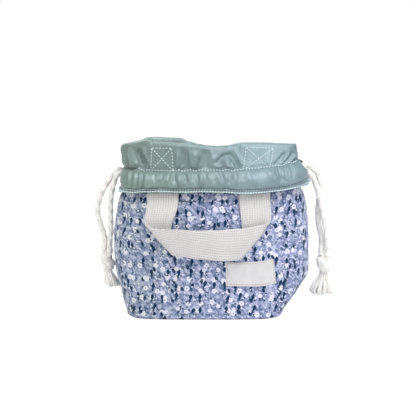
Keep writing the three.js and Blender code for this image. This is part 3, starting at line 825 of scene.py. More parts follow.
def printed_cotton():
    """Small flowers and leaves strewn in layers on a blue-grey ground."""
    material, w, shader, cloth = new_material("printed cotton")
    if not w:
        return material
    c = settings().colours
    weave = w.group(plain_weave(), cloth=cloth, pitch=0.00045, patches=0.006)
    paint = w.mix(w.ramp(weave["Tone"], 0.35, 0.65), c.ground, c.ground_light)

    def strewn(cell, turn, spread, share, seed, disorder):
        return w.group(
            scattered(), cloth=cloth, cell=cell, turn=turn, spread=spread, share=share,
            seed=seed, disorder=disorder,
        )

    def leaves(
        paint, shade, cell, long, wide, turn, spread, share, seed,
        notches=0.0, vein=0.0, faintest=0.85, disorder=0.7,
    ):
        spot = strewn(cell, turn, spread, share, seed, disorder)
        form = w.group(
            leaf(), place=spot["Place"], long=long, wide=wide, notches=notches, softness=CRISP
        )
        tone = w.mix(w.times(form["Vein"], vein), shade, c.ground)
        thin = w.ramp(spot["Chance"], 0.0, 1.0, faintest, 1.0, "LINEAR")
        return w.mix(w.times(form["Mask"], spot["Shown"], thin), paint, tone)

    def clumps(paint, shade, cell, radius, share, seed):
        """Speckled clumps of small leaves."""
        spot = strewn(cell, 0.0, ANY_TURN, share, seed, 0.8)
        form = w.group(
            blossom(), place=spot["Place"], radius=radius, scallop=0.3, softness=0.0004
        )
        dots = w.ramp(w.clouds(cloth, 1300.0, 0.0), 0.42, 0.54, 0.25, 1.0)
        return w.mix(w.times(form["Mask"], spot["Shown"], dots), paint, shade)

    def sprigs(paint, cell, turn, spread, share, seed):
        """A navy leaf with a slate tuft below it and a berry beside it."""
        spot = strewn(cell, turn, spread, share, seed, 0.72)
        parts = (
            (c.slate_leaf, (0.0004, 0.0042, 0), 0.0062, 0.0042, 0.8),
            (c.navy_leaf, (0.0, 0.0, 0), 0.0062, 0.0034, 0.0),
            (c.navy_leaf, (0.0005, 0.0038, 0), 0.0036, 0.0016, 0.5),
        )
        for shade, shift, long, wide, notches in parts:
            place = w.vector("ADD", spot["Place"], shift)
            form = w.group(
                leaf(), place=place, long=long, wide=wide, notches=notches, softness=CRISP
            )
            paint = w.mix(w.times(form["Mask"], spot["Shown"]), paint, shade)
        return paint

    def flowers(paint, cell, radius, share, seed, scallop, heart):
        spot = strewn(cell, 0.0, ANY_TURN, share, seed, 0.78)
        form = w.group(
            blossom(), place=spot["Place"], radius=radius, scallop=scallop, softness=0.00024
        )
        centre = w.times(form["Centre"], w.times(spot["Chance"], heart))
        tone = w.mix(centre, c.blossom, c.slate_leaf)
        return w.mix(w.times(form["Mask"], spot["Shown"]), paint, tone)

    def berries(paint, shade, cell, radius, share, seed):
        spot = strewn(cell, 0.0, ANY_TURN, share, seed, 0.8)
        form = w.group(
            blossom(), place=spot["Place"], radius=radius, scallop=0.0, softness=CRISP
        )
        return w.mix(w.times(form["Mask"], spot["Shown"]), paint, shade)

    # From the lowest layer to the top one: cell, length, width, turn, spread of the turn, share
    # that shows and seed of each leaf layer; cell, radius, share and seed of each round one
    pale, slate = c.pale_leaf, c.slate_leaf
    paint = leaves(
        paint, pale, 0.0054, 0.0062, 0.0034, 0.5, 1.5, 0.85, 3.1, vein=0.6, faintest=0.35
    )
    paint = clumps(paint, slate, 0.0118, 0.0029, 0.62, 5.3)
    paint = leaves(
        paint, slate, 0.0066, 0.0056, 0.0030, -0.6, 1.2, 0.5, 7.7, notches=0.75, faintest=0.45
    )
    paint = leaves(
        paint, pale, 0.0048, 0.0048, 0.0019, -0.7, 0.8, 0.7, 12.3, vein=0.4, faintest=0.5
    )
    paint = leaves(
        paint, slate, 0.0080, 0.0074, 0.0024, -0.85, 0.4, 0.55, 19.4, notches=0.85, faintest=0.75
    )
    paint = leaves(paint, pale, 0.0061, 0.0058, 0.0016, -0.8, 0.35, 0.5, 23.9, faintest=0.6)
    paint = leaves(
        paint, c.ground, 0.0057, 0.0044, 0.0019, 0.3, 1.2, 0.5, 27.1, notches=0.5
    )
    paint = leaves(paint, slate, 0.0071, 0.0032, 0.0016, 1.2, 1.0, 0.5, 29.3, faintest=0.6)
    paint = leaves(paint, c.blossom, 0.0069, 0.0040, 0.0013, -0.9, 0.7, 0.45, 33.9, faintest=0.45)
    paint = flowers(paint, 0.0046, 0.00062, 0.25, 41.0, 0.0, 0.0)
    paint = flowers(paint, 0.0118, 0.0027, 0.66, 47.3, 0.22, 1.1)
    paint = sprigs(paint, 0.0122, 0.08, 0.28, 0.72, 31.2)
    paint = leaves(
        paint, c.navy_leaf, 0.0112, 0.0056, 0.0031, -0.3, 0.45, 0.55, 37.8,
        faintest=0.95, disorder=0.8,
    )
    paint = flowers(paint, 0.0142, 0.0023, 0.62, 71.9, 0.25, 0.4)
    paint = flowers(paint, 0.0062, 0.00085, 0.3, 53.6, 0.0, 0.0)
    paint = berries(paint, c.navy_leaf, 0.0068, 0.0008, 0.3, 59.9)
    # Painted shade: the print is drawn a little darker in the weave's hollows and lighter on its
    # threads
    weave_hollow_shade = w.ramp(weave["Height"], -1.0, 1.0, 0.95, 1.03, "LINEAR")
    # Painted shade and light: the print is drawn darker towards the left and lighter and bluer
    # towards the right, as if lit from the right
    towards_lit_right = w.ramp(w.parts(w.place())["X"], -0.085, 0.03)
    tint = w.mix(towards_lit_right, (0.79, 0.81, 0.79), (0.965, 0.955, 1.045))
    w.fill(shader, {
        "Base Color": w.vector("SCALE", w.vector("MULTIPLY", paint, tint), weave_hollow_shade),
        "Roughness": 0.88,
        "Specular IOR Level": 0.25,
        "Sheen Weight": 0.12,
    })
    bump(w, shader, weave["Height"], 0.00006)
    return material


# Heights between which the channel gives way to the collar
CHANNEL_END, COLLAR_START = 0.144, 0.152


def satin():
    """Smooth sage cloth with a soft shine and fine slanting twill."""
    material, w, shader, cloth = new_material("sage satin")
    if not w:
        return material
    c = settings().colours
    weave = w.group(plain_weave(), cloth=cloth, pitch=0.0004, patches=0.016)
    part = w.parts(cloth)
    slant = w.times(w.plus(part["X"], part["Y"]), 2 * math.pi / 0.0007)
    twill = w.plus(w.maths("SINE", slant), w.times(weave["Height"], 0.4))
    stretched = w.vector("MULTIPLY", cloth, (1.0, 0.35, 1.0))
    crush = w.clouds(stretched, 150.0, 2.0, 0.45)
    tone = w.ramp(weave["Tone"], 0.3, 0.7, 0.88, 1.10, "LINEAR")
    at = w.parts(w.place())
    # Painted light and shade: the channel, whose upper face catches the light, is drawn lighter and
    # the collar darker, and the back of the mouth, which catches the light, lighter still
    channel_painted_light = w.ramp(at["Z"], CHANNEL_END, COLLAR_START, 1.09, 0.95)
    mouth_back_painted_light = w.ramp(at["Y"], 0.0, 0.02, 0.95, 1.2)
    shine = w.times(tone, w.maths("MAXIMUM", channel_painted_light, mouth_back_painted_light))
    # Painted light: the satin is drawn bluer and lighter towards the right, where the bluish key
    # light falls, and the channel's right half carries a painted highlight
    towards_lit_right = w.ramp(at["X"], -0.085, 0.075)
    on_channel = w.ramp(at["Z"], CHANNEL_END, COLLAR_START, 1.0, 0.0)
    painted_highlight = w.times(on_channel, w.ramp(at["X"], -0.05, 0.02))
    tint = w.mix(painted_highlight, (1.0, 1.0, 1.0), (1.12, 1.04, 1.04))
    shade = w.vector("MULTIPLY", w.mix(towards_lit_right, c.satin, c.satin_lit_right), tint)
    w.fill(shader, {
        "Base Color": w.vector("SCALE", shade, shine),
        "Roughness": w.ramp(crush, 0.3, 0.7, 0.38, 0.48, "LINEAR"),
        "Specular IOR Level": 0.95,
        "Specular Tint": (0.8, 0.93, 1.0, 1.0),
        "Sheen Weight": 0.25,
        "Sheen Roughness": 0.4,
        "Sheen Tint": (0.75, 0.9, 1.0, 1.0),
    })
    bump(w, shader, w.plus(w.times(twill, 0.06), crush), 0.0004, 0.5)
    return material


def webbing_cotton():
    """Heavy cotton webbing woven in narrow columns of chevrons."""
    material, w, shader, cloth = new_material("cotton webbing")
    if not w:
        return material
    c = settings().colours
    part = w.parts(cloth)
    half_column = 0.00125
    column = w.maths("PINGPONG", part["X"], half_column)
    chevron = w.plus(part["Y"], w.times(column, 1.5))
    ribs = w.maths("SINE", w.times(chevron, 2 * math.pi / 0.0022))
    off_furrow = w.maths("PINGPONG", w.plus(part["X"], half_column), half_column)
    furrow = w.ramp(off_furrow, 0.0, 0.00045, 0.1, 1.0)
    height = w.times(w.plus(w.times(ribs, 0.38), 0.62), furrow)
    # Painted shade: the webbing is drawn darker in the furrows between its columns and between its
    # chevrons
    tone = w.ramp(height, 0.1, 0.85, 0.69, 1.02, "LINEAR")
    weave = w.group(plain_weave(), cloth=cloth, pitch=0.0006, patches=0.012)
    patchy = w.ramp(weave["Tone"], 0.3, 0.7, 0.97, 1.02, "LINEAR")
    # Painted shade and light: the folded band below, which faces down, is drawn darker and the legs
    # above it lighter
    unevenness = w.times(patchy, w.ramp(w.parts(w.place())["Z"], 0.098, 0.108, 0.96, 1.05))
    w.fill(shader, {
        "Base Color": w.vector("SCALE", c.webbing, w.times(tone, unevenness)),
        "Roughness": 0.9,
        "Specular IOR Level": 0.2,
        "Sheen Weight": 0.15,
    })
    bump(w, shader, height, 0.0006, 0.9)
    return material


# Length of cord in which a yarn goes once round it
BRAID_PITCH = 0.0105


def braided_cotton(name="braided cotton", fine=False):
    """Soft cotton cord: yarns that slant both ways round it, with loose fibres."""
    material, w, shader, cloth = new_material(name)
    if not w:
        return material
    c = settings().colours
    part = w.parts(cloth)
    round_it = w.times(part["X"], 2 * math.pi / 0.0058)
    down_it = w.times(part["Y"], 2 * math.pi / BRAID_PITCH)
    lay = w.plus(round_it, down_it)
    cross = w.plus(w.minus(round_it, down_it), 1.2)
    yarns = w.maths("MAXIMUM", w.maths("SINE", lay), w.maths("SINE", cross))
    fibre = w.clouds(w.vector("MULTIPLY", cloth, (1.0, 0.3, 1.0)), 2600.0, 2.0)
    if fine:
        height = fibre
        tone = w.ramp(height, 0.25, 0.8, 0.85, 0.99, "LINEAR")
    else:
        height = w.plus(yarns, w.times(fibre, 0.7))
        # Painted shade: darker in the grooves between the yarns
        tone = w.ramp(height, -0.2, 1.4, 0.84, 1.05, "LINEAR")
        # Painted shade and light: the cord is drawn darker towards the left and lighter towards the
        # right
        tone = w.times(tone, w.ramp(w.parts(w.place())["X"], -0.09, 0.09, 0.88, 1.05))
    w.fill(shader, {
        "Base Color": w.vector("SCALE", c.cord, tone),
        "Roughness": 0.92,
        "Specular IOR Level": 0.15,
        "Sheen Weight": 0.25,
    })
    bump(w, shader, height, 0.00025, 0.7)
    return material


def woven(name, shade, pitch):
    """Plain woven cloth in one colour."""
    material, w, shader, cloth = new_material(name)
    if not w:
        return material
    weave = w.group(plain_weave(), cloth=cloth, pitch=pitch, patches=0.008)
    # Painted shade: darker in the weave's hollows and a little lighter on its threads
    level = w.ramp(weave["Height"], -1.0, 1.0, 0.93, 1.03, "LINEAR")
    tone = w.times(level, w.ramp(weave["Tone"], 0.3, 0.7, 0.96, 1.02, "LINEAR"))
    w.fill(shader, {
        "Base Color": w.vector("SCALE", shade, tone),
        "Roughness": 0.85,
        "Specular IOR Level": 0.25,
        "Sheen Weight": 0.1,
    })
    bump(w, shader, weave["Height"], 0.00012, 0.8)
    return material


def sewing_thread(name, shade):
    """Twisted thread, a little shiny."""
    material, w, shader, _ = new_material(name)
    if not w:
        return material
    twist = w.clouds(w.place(), 3000.0, 1.0, dimensions="3D")
    tone = w.ramp(twist, 0.3, 0.7, 0.9, 1.05, "LINEAR")
    w.fill(shader, {
        "Base Color": w.vector("SCALE", shade, tone),
        "Roughness": 0.55,
        "Sheen Weight": 0.15,
    })
    return material


# Pieces


# Length of a half round the bag, from side seam to side seam
HALF_GIRTH = 0.27
# How far sideways the back's map starts, so that its print isn't the front's over again
BACK_MAP_SHIFT = 0.43
# The halves keep this far off the middle plane, so that they don't run into each other
SEAM_GAP = 0.00002
# Rounding of the cloth at the base's edge, the height whose cross section the base has, and how
# much less than a full rounding it is drawn in
BASE_ROLL, BASE_SECTION, BASE_EASE = 0.004, 0.0031, 0.001


def wall_piece(name, side, depth, top, material, columns, rows, relief, turned_out=None):
    """Half the base in one with the front or the back wall, up to a height. turned_out gives the
    height from which the cloth lies further out, and by how much."""
    wall = Wall()
    base = wall.rows[0][2] / 2

    def place(u, v):
        way = v * (base + top)
        turn = wall.turn(u)
        z = max(0.0, way - base)
        reach = min(1.0, way / base)
        offset = -depth
        if z < BASE_ROLL:
            rolled = math.sqrt(BASE_ROLL * BASE_ROLL - (BASE_ROLL - z) ** 2)
            offset -= BASE_ROLL - rolled - BASE_EASE
        if turned_out and z > turned_out[0]:
            offset += turned_out[1] * smooth(z, turned_out[0], turned_out[0] + 0.005)
        section = max(z, BASE_SECTION) if z < BASE_ROLL else z
        point = wall.point(turn, section, offset)
        point.z += z - section
        out = relief(u, turn, point, z)
        normal = Vector((point.x * 0.25, point.y, 0)).normalized()
        point += normal * out * smooth(z, 0, 0.012)
        point.y = side * min(-SEAM_GAP, point.y * reach)
        point.z = max(point.z, 0.0) + depth * (1 - smooth(z, 0, 0.02))
        return point

    edge_row = round(rows * base / (base + top))
    shift = 0.0 if side == FRONT else BACK_MAP_SHIFT
    bm = cloth_grid(columns, rows, place, shift=shift, level=edge_row)
    turn_outwards(bm, Vector((0, 0, 0.07)))
    return new_piece(name, bm, material)


# Left and right edges of a handle's legs, and heights of the legs and of the folded band
LEFT_LEG, RIGHT_LEG = (-0.069, -0.031), (0.025, 0.063)
LEG_HEIGHTS, BAND_HEIGHTS = (0.058, 0.176), (0.055, 0.098)


def strap_shadow(x, z):
    """One where a handle or the label lies on the bag, so that nothing puffs through it."""

    def inside(value, low, high):
        return plateau(value, low - 0.004, low, high, high + 0.004)

    legs = max(inside(x, *LEFT_LEG), inside(x, *RIGHT_LEG)) * inside(z, *LEG_HEIGHTS)
    band = inside(x, LEFT_LEG[0], RIGHT_LEG[1]) * inside(z, *BAND_HEIGHTS)
    return max(legs, band)


# Printed cloth: columns and rows of its grid, the height it ends at, and how far a point may move
# while the cloth settles
PRINT_GRID, PRINT_TOP, PRINT_LIMIT = (115, 105), 0.161, 0.0028


class BAG_OT_printed_body(bpy.types.Operator):
    """Two halves of printed cotton, gathered below the hem, puffed out over the wadding and sewn
    into boxed corners"""

    bl_idname = "bag.printed_body"
    bl_label = "Printed body"

    def execute(self, context):
        for side, name in SIDES:

            def relief(u, turn, point, z, side=side):
                across = (u - 0.5) * HALF_GIRTH
                lift = 0.0013 * grain(across / 0.05, z / 0.045, side * 5.0)
                lift += 0.0006 * grain(across / 0.018, z / 0.02, side * 9.0)
                # Pleats under the hem
                pleat = grain(across / 0.0075, z / 0.12, side * 13.0)
                lift += 0.0016 * smooth(z, 0.092, 0.13) * pleat
                # The side seams draw the cloth in, and on the right the boxed corner stands out
                seam = min(u, 1 - u) * HALF_GIRTH
                lift -= 0.0016 * bell(seam, 0.004) * smooth(z, 0.02, 0.05)
                if turn > math.pi / 2:
                    lift += 0.0016 * bell(z - 0.041, 0.006) * bell(seam, 0.03)
                lift -= max(0.0, lift) * strap_shadow(point.x, z)
                # The left side is fuller
                left = smooth(-point.x, 0.072, 0.09)
                return lift + 0.0013 * left * plateau(z, 0.02, 0.045, 0.075, 0.1)

            piece = wall_piece(
                f"printed_{name}", side, 0.0, PRINT_TOP, printed_cotton(), *PRINT_GRID, relief
            )
            pins = {}
            for i, vert in enumerate(piece.data.vertices):
                z = vert.co.z
                hold = 1 - smooth(z, 0.004, 0.03)
                hold = max(hold, smooth(z, 0.118, 0.128))
                hold = max(hold, 1 - smooth(abs(vert.co.y), 0.0003, 0.004))
                if hold > 0:
                    pins[i] = hold

            def outward_limit(place):
                return PRINT_LIMIT - 0.0026 * strap_shadow(place.x, place.z)

            pressure, growth = 1.2, 0.018
            settle(piece, pins, pressure, growth, PRINT_LIMIT, outward_limit)
            thicken(piece, settings().cloth.print_thickness, 1)
            dress(piece, "bag", "printed_cotton", f"outer_{name}_panel")
        return {"FINISHED"}


def drawn_in(u, z):
    """How far the inner layers draw back where the print's side seams and the hem pull it in."""
    seam = 0.0025 * bell(min(u, 1 - u) * HALF_GIRTH, 0.008)
    pleats = 0.0014 * smooth(z, 0.1, 0.116)
    return (seam + pleats) * (1 - smooth(z, 0.126, 0.136))


class BAG_OT_inside(bpy.types.Operator):
    """Wadding and lining inside the printed halves"""

    bl_idname = "bag.inside"
    bl_label = "Wadding and lining"

    def execute(self, context):
        cloth, c = settings().cloth, settings().colours
        foam = cloth.print_thickness + cloth.gap
        inner = foam + cloth.foam_thickness + cloth.gap
        for side, name in SIDES:
            piece = wall_piece(
                f"wadding_{name}", side, foam, cloth.foam_top,
                woven("wadding", c.wadding, 0.0016), columns=96, rows=44,
                relief=lambda u, turn, point, z: -drawn_in(u, z),
            )
            thicken(piece, cloth.foam_thickness)
            dress(piece, "bag", "wadding", f"insulation_{name}")

            def relief(u, turn, point, z, side=side):
                across = (u - 0.5) * HALF_GIRTH
                fold = 0.0012 * grain(across / 0.014, z / 0.08, side * 3.0 + 20)
                fold += 0.0009 * grain(across / 0.04, z / 0.03, side * 4.0 + 30)
                return min(0.0003, fold - 0.0006) - drawn_in(u, z)

            top = settings().wall.rim_height - cloth.cuff_inner_leg - cloth.gap
            piece = wall_piece(
                f"lining_cloth_{name}", side, inner, top, satin(), columns=90, rows=84,
                relief=relief, turned_out=(cloth.foam_top, inner - foam),
            )
            thicken(piece, cloth.lining_thickness)
            dress(piece, "bag", "lining", f"lining_{name}")
        return {"FINISHED"}


# The collar's creases at the front, each as x0, z0, x1, z1, width and height in millimetres
COLLAR_CREASES = [
    (-87, 168, -81, 148, 2.0, -2.0), (-83, 166, -77, 150, 2.2, 1.2),
    (-76, 168, -64, 148, 2.2, -2.3), (-70, 169, -63.5, 156, 2.0, 1.2),
    (-62, 170, -62, 149, 1.4, 1.0), (-37.5, 168, -37.5, 150, 1.2, -0.9),
    (-34, 164, -34, 150, 2.6, 0.9), (-27, 168, -26, 148, 3.6, -1.8),
    (-16, 166, -18, 150, 3.6, 1.4), (-7, 168, -6, 149, 3.4, -1.5), (3, 163, 5, 149, 2.8, 1.0),
    (4, 155, 11, 163, 2.4, -1.3), (11, 163, 19, 165, 2.4, -1.5), (19, 165, 27, 149, 2.4, -1.9),
    (14, 159, 17, 150, 3.0, 1.2), (-85, 170, -84, 152, 1.1, -1.0), (-79, 171, -74, 156, 1.2, -1.0),
    (-67, 158, -63, 149, 1.2, -1.3), (-75, 156, -74, 149, 1.0, 1.0),
    (-23, 171, -22, 158, 1.3, 0.8), (-12, 160, -13, 149, 1.1, -0.8), (0, 168, -1, 154, 1.4, 0.9),
    (22, 170, 29, 156, 1.6, 0.9), (21, 157, 23, 149, 1.1, 0.9), (12, 153, 10, 148, 1.0, -0.9),
    (-3, 154, -1, 148, 0.9, -0.9), (-28, 153, -31, 148, 1.0, 0.9), (76, 153, 86, 163, 1.3, 0.9),
    (80, 154, 85, 160, 1.1, -1.0), (64, 152, 69, 158, 1.1, 0.8), (64, 153, 74, 164, 2.2, -1.4),
    (70, 152, 83, 165, 2.2, -1.3), (67, 152, 78, 163, 1.8, 0.9),
]
# The channel's creases at the front, in the same way, with heights as if the channel ran level
CHANNEL_CREASES = [
    (-57, 147, -56, 139, 0.9, -0.6), (-49, 146, -50, 140, 0.9, -0.6),
    (-41, 147, -43, 141, 0.9, -0.7), (-37, 148, -38, 139, 1.0, -1.0),
    (-28, 149, -25, 139, 1.1, -1.1), (-23, 148, -21, 137, 1.3, 0.9),
    (-19, 149, -19, 141, 0.9, -0.9), (-22, 133, -16, 128, 1.1, -1.0), (-4, 149, -2, 141, 0.9, 0.9),
    (0, 149, 2, 139, 1.0, -1.1), (-2, 134, 3, 128, 1.2, -0.9), (13, 149, 14, 140, 0.9, 0.9),
    (27, 148, 27, 141, 1.0, -0.8), (38, 149, 38, 143, 1.0, -0.6), (45, 149, 44, 143, 1.0, -0.6),
    (53, 150, 54, 143, 1.0, -0.6), (60, 151, 62, 141, 1.1, -0.9), (63, 151, 65, 140, 1.0, 0.7),
    (70, 139, 76, 134, 1.2, -0.8), (-60, 133, -54, 128, 1.2, -0.8),
    (-70, 133, -66, 128, 1.0, -0.8), (40, 134, 47, 130, 1.4, -0.7),
    (-86, 149, -86, 131, 1.3, -1.3), (-83.5, 149, -83, 131, 1.2, 0.9),
    (-81, 148, -80, 131, 1.3, -1.4), (-77, 148, -77, 130, 1.4, 0.9),
    (-74, 149, -73, 130, 1.2, -1.2), (-72, 148, -71, 131, 1.2, 1.0),
    (-69.5, 149, -68, 130, 1.3, -1.2), (-65, 149, -66, 132, 1.6, 0.7),
    (-52, 140, -51, 128, 1.6, -0.9), (-45, 138, -46, 128, 1.5, -0.8),
    (-38, 146, -33, 132, 1.7, -1.1), (-33, 147, -31, 136, 1.4, 0.8),
    (-16, 148, -11, 130, 1.6, -1.5), (-11, 147, -10, 134, 1.3, 1.0), (-6, 148, -7, 133, 1.5, -1.1),
    (8, 149, 17, 128, 1.3, -1.7), (5, 148, 12, 134, 1.3, 0.9), (19, 149, 17.5, 137, 1.2, -1.4),
    (23, 148, 24, 136, 1.6, 0.7), (33, 149, 31, 140, 1.6, -0.7), (66, 150, 69, 136, 1.5, -0.8),
    (72, 152, 75, 138, 1.4, -0.8), (78, 154, 81, 140, 1.3, -0.8), (75, 152, 78, 140, 1.2, 0.6),
]


def seeded_creases(seed, low, high, count, slant):
    """Creases for the back, which the front view doesn't show."""
    dice = random.Random(seed)
    lines = []
    left_end, span = -86, 172
    for i in range(count):
        x = left_end + span * (i + dice.uniform(0.2, 0.8)) / count
        lean = dice.uniform(-slant, slant)
        width = dice.uniform(1.3, 3.0)
        height = dice.choice((-1, 1)) * dice.uniform(0.6, 1.7)
        lines.append((x, high, x + lean, low, width, height))
    return lines


# Over the sewn handle ends, from left to right: where the collar shows the webbing's thickness,
# where it keeps from sinking in, and where the gathering thread runs straighter. Each span starts,
# is full, fades and ends.
THICK_SPANS = ((-0.0625, -0.061, -0.0335, -0.032), (0.027, 0.0285, 0.0585, 0.060))
FIRM_SPANS = ((-0.069, -0.065, -0.032, -0.028), (0.0235, 0.0275, 0.0595, 0.0635))
CALM_SPANS = ((-0.066, -0.060, -0.040, -0.034), (0.028, 0.034, 0.060, 0.066))


def in_spans(x, spans):
    return sum(plateau(x, *span) for span in spans)


def pucker(x, side):
    """How far the gathering thread lies above or below its plain line."""
    lively = 1 - 0.85 * in_spans(x, CALM_SPANS) if side == FRONT else 1.0
    ripple = 0.9 * grain(x / 0.0048, side * 2.0)
    ripple += 0.6 * math.sin(x * 1000 / 1.9 + 3 * grain(x / 0.02, 4.0))
    return (-0.0008 + 0.0011 * ripple) * lively - 0.0006 * (1 - lively)


# Thickness of the collar's and the channel's satin
SATIN_THICKNESS = 0.0005


class BAG_OT_collar(bpy.types.Operator):
    """The lining turned out over the rim, in soft folds above the gathering thread"""

    bl_idname = "bag.collar"
    bl_label = "Collar"

    def execute(self, context):
        cloth = settings().cloth
        wall = Wall()
        inner_offset = -(cloth.print_thickness + cloth.gap)
        fold = (wall.cuff_offset - inner_offset) / 2 + cloth.cuff_thickness
        middle = wall.cuff_offset + cloth.cuff_thickness - fold
        fold_height = wall.rim - fold
        inner_steps, fold_steps, outer_steps = 8, 8, 22
        rows = inner_steps + fold_steps + outer_steps

        def section(turn, k, bottom):
            """Height and offset of row k: up inside, over the fold and down outside."""
            low = wall.rim - cloth.cuff_inner_leg
            if k <= inner_steps:
                return low + (fold_height - low) * k / inner_steps, middle - fold
            if k > inner_steps + fold_steps:
                share = (k - inner_steps - fold_steps) / outer_steps
                return fold_height + (bottom - fold_height) * share, middle + fold
            angle = math.pi * (1 - (k - inner_steps) / fold_steps)
            if angle >= math.pi / 2:
                return fold_height + fold * math.sin(angle), middle + fold * math.cos(angle)
            # The fold is squarer at both ends of the mouth
            power = 1 - 0.55 * smooth(abs(math.cos(turn)), 0.86, 0.985)
            z = fold_height + fold * math.sin(angle) ** power
            return z, middle + fold * math.cos(angle) ** power

        def bulge(point, z, k, bottom, side, creases):
            """How far the outside stands out from its plain section."""
            fade = smooth(k, inner_steps, inner_steps + fold_steps)
            down = smooth(wall.rim - z, -0.002, 0.012)
            out = 1.6 * strokes(point.x, z, creases)
            out += 0.0006 * grain(point.x / 0.014, z / 0.04, side * 6.0)
            out *= (0.3 + 0.7 * down) * fade
            # It is drawn in along the gathering thread
            tuck = smooth(z, bottom, bottom + 0.004)
            out = out * (0.35 + 0.65 * tuck) - 0.0018 * (1 - tuck) * (1 - 0.5 * (1 - tuck))
            # The webbing's thickness shows through, and a little of its ribs
            ribs = math.sin(2 * math.pi * point.x / 0.0025)
            webbing = in_spans(point.x, THICK_SPANS)
            out += (0.0006 + 0.00012 * ribs * down * tuck) * webbing * fade
            # It puffs out at the left side, in two places one below the other
            left = smooth(-point.x, 0.07, 0.088)
            out += 0.0032 * left * bell(z - 0.1635, 0.011)
            lower = (1 - smooth(z, 0.153, 0.1645)) * smooth(z, bottom - 0.002, bottom + 0.002)
            out += 0.0038 * left * lower
            return max(out, -0.0034 + 0.0024 * in_spans(point.x, FIRM_SPANS))

        for side, name in SIDES:
            creases = seeded_creases(11, 148, 168, 20, 7) if side == BACK else COLLAR_CREASES

            def place(u, v, side=side, creases=creases):
                turn = wall.turn(u)
                k = round(v * rows)
                x = wall.point(turn, wall.casing_top).x
                bottom = wall.casing_top + wall.rise(turn) + cloth.gap + pucker(x, side)
                bottom -= 0.0036 * smooth(abs(math.cos(turn)), 0.955, 0.995)
                z, offset = section(turn, k, bottom)
                point = wall.point(side * turn, z, offset)
                if k > inner_steps:
                    normal = Vector((point.x * 0.18, point.y, 0.0)).normalized()
                    if abs(point.y) < 0.002:
                        normal = Vector((math.copysign(1, point.x), 0, 0))
                    point += normal * bulge(point, z, k, bottom, side, creases)
                else:
                    point.z += 0.0004 * grain(point.x / 0.01, 3.0)
                if side == BACK:
                    leant = plateau(point.x, -0.076, -0.058, -0.022, -0.006)
                    point.y += 0.0062 * leant * smooth(z, wall.rim - 0.013, wall.rim)
                if side * -point.y < SEAM_GAP:
                    point.y = -side * SEAM_GAP
                return point

            bm = cloth_grid(214, rows, place)
            turn_outwards(bm, lambda p: Vector((p.x * 0.9, p.y * 0.75, p.z - 0.002)))
            piece = new_piece(f"collar_{name}", bm, satin())
            thicken(piece, SATIN_THICKNESS, 1)
            dress(piece, "bag", "lining", f"cuff_{name}")
        return {"FINISHED"}


# How much higher the front hem lies than level, in millimetres, where it passes the left handle
HEM_RISE = [
    (-76, 0), (-66, 0.6), (-56, 2.2), (-42, 3.0), (-26, 2.2), (-8, 2.4), (10, 1.8), (28, 0.3),
    (36, 0),
]


def hem_rise(x, side):
    return along(HEM_RISE, x * 1000) / 1000 if side == FRONT else 0.0


# Rows of the channel's section, counted from its top: the first follow the gathering thread, and
# the outside ends at the hem's upper stitches and the hem at its lower edge
THREAD_ROWS, OUTSIDE_ROWS, HEM_ROWS = 6, 24, 30


def channel_profile(cloth, wall):
    """The channel's section as (out, up): from the gathering thread over the bulge to the hem,
    under it and up the flat wall behind."""
    half = cloth.casing_height / 2
    front = wall.cuff_offset
    points = []
    steps = 22
    for i in range(steps + 1):
        angle = math.radians(87 - 171 * i / steps)
        if angle > 0:
            out = (cloth.casing_room + 0.0014) * math.cos(angle) ** 0.95 - 0.0004
        else:
            out = 0.0046 + (cloth.casing_room - 0.0036) * math.cos(angle) ** 0.85
        points.append((front + out, half * 0.99 * math.sin(angle)))
    points += [
        (front + 0.0050, -half - 0.0001),
        (front + 0.0059, -half - 0.0009),
        (front + 0.0078, -half - cloth.hem_depth + 0.0005),
        (front + 0.0081, -half - cloth.hem_depth - 0.0004),
        (front + 0.0072, -half - cloth.hem_depth - 0.0009),
        (front + 0.0036, -half - cloth.hem_depth - 0.0001),
        (front + 0.0008, -half - 0.0008),
        (front + 0.0003, -half * 0.6),
        (front + 0.0002, 0.0),
        (front + 0.0002, half * 0.5),
        (front + 0.0003, half * 0.9),
    ]
    return points


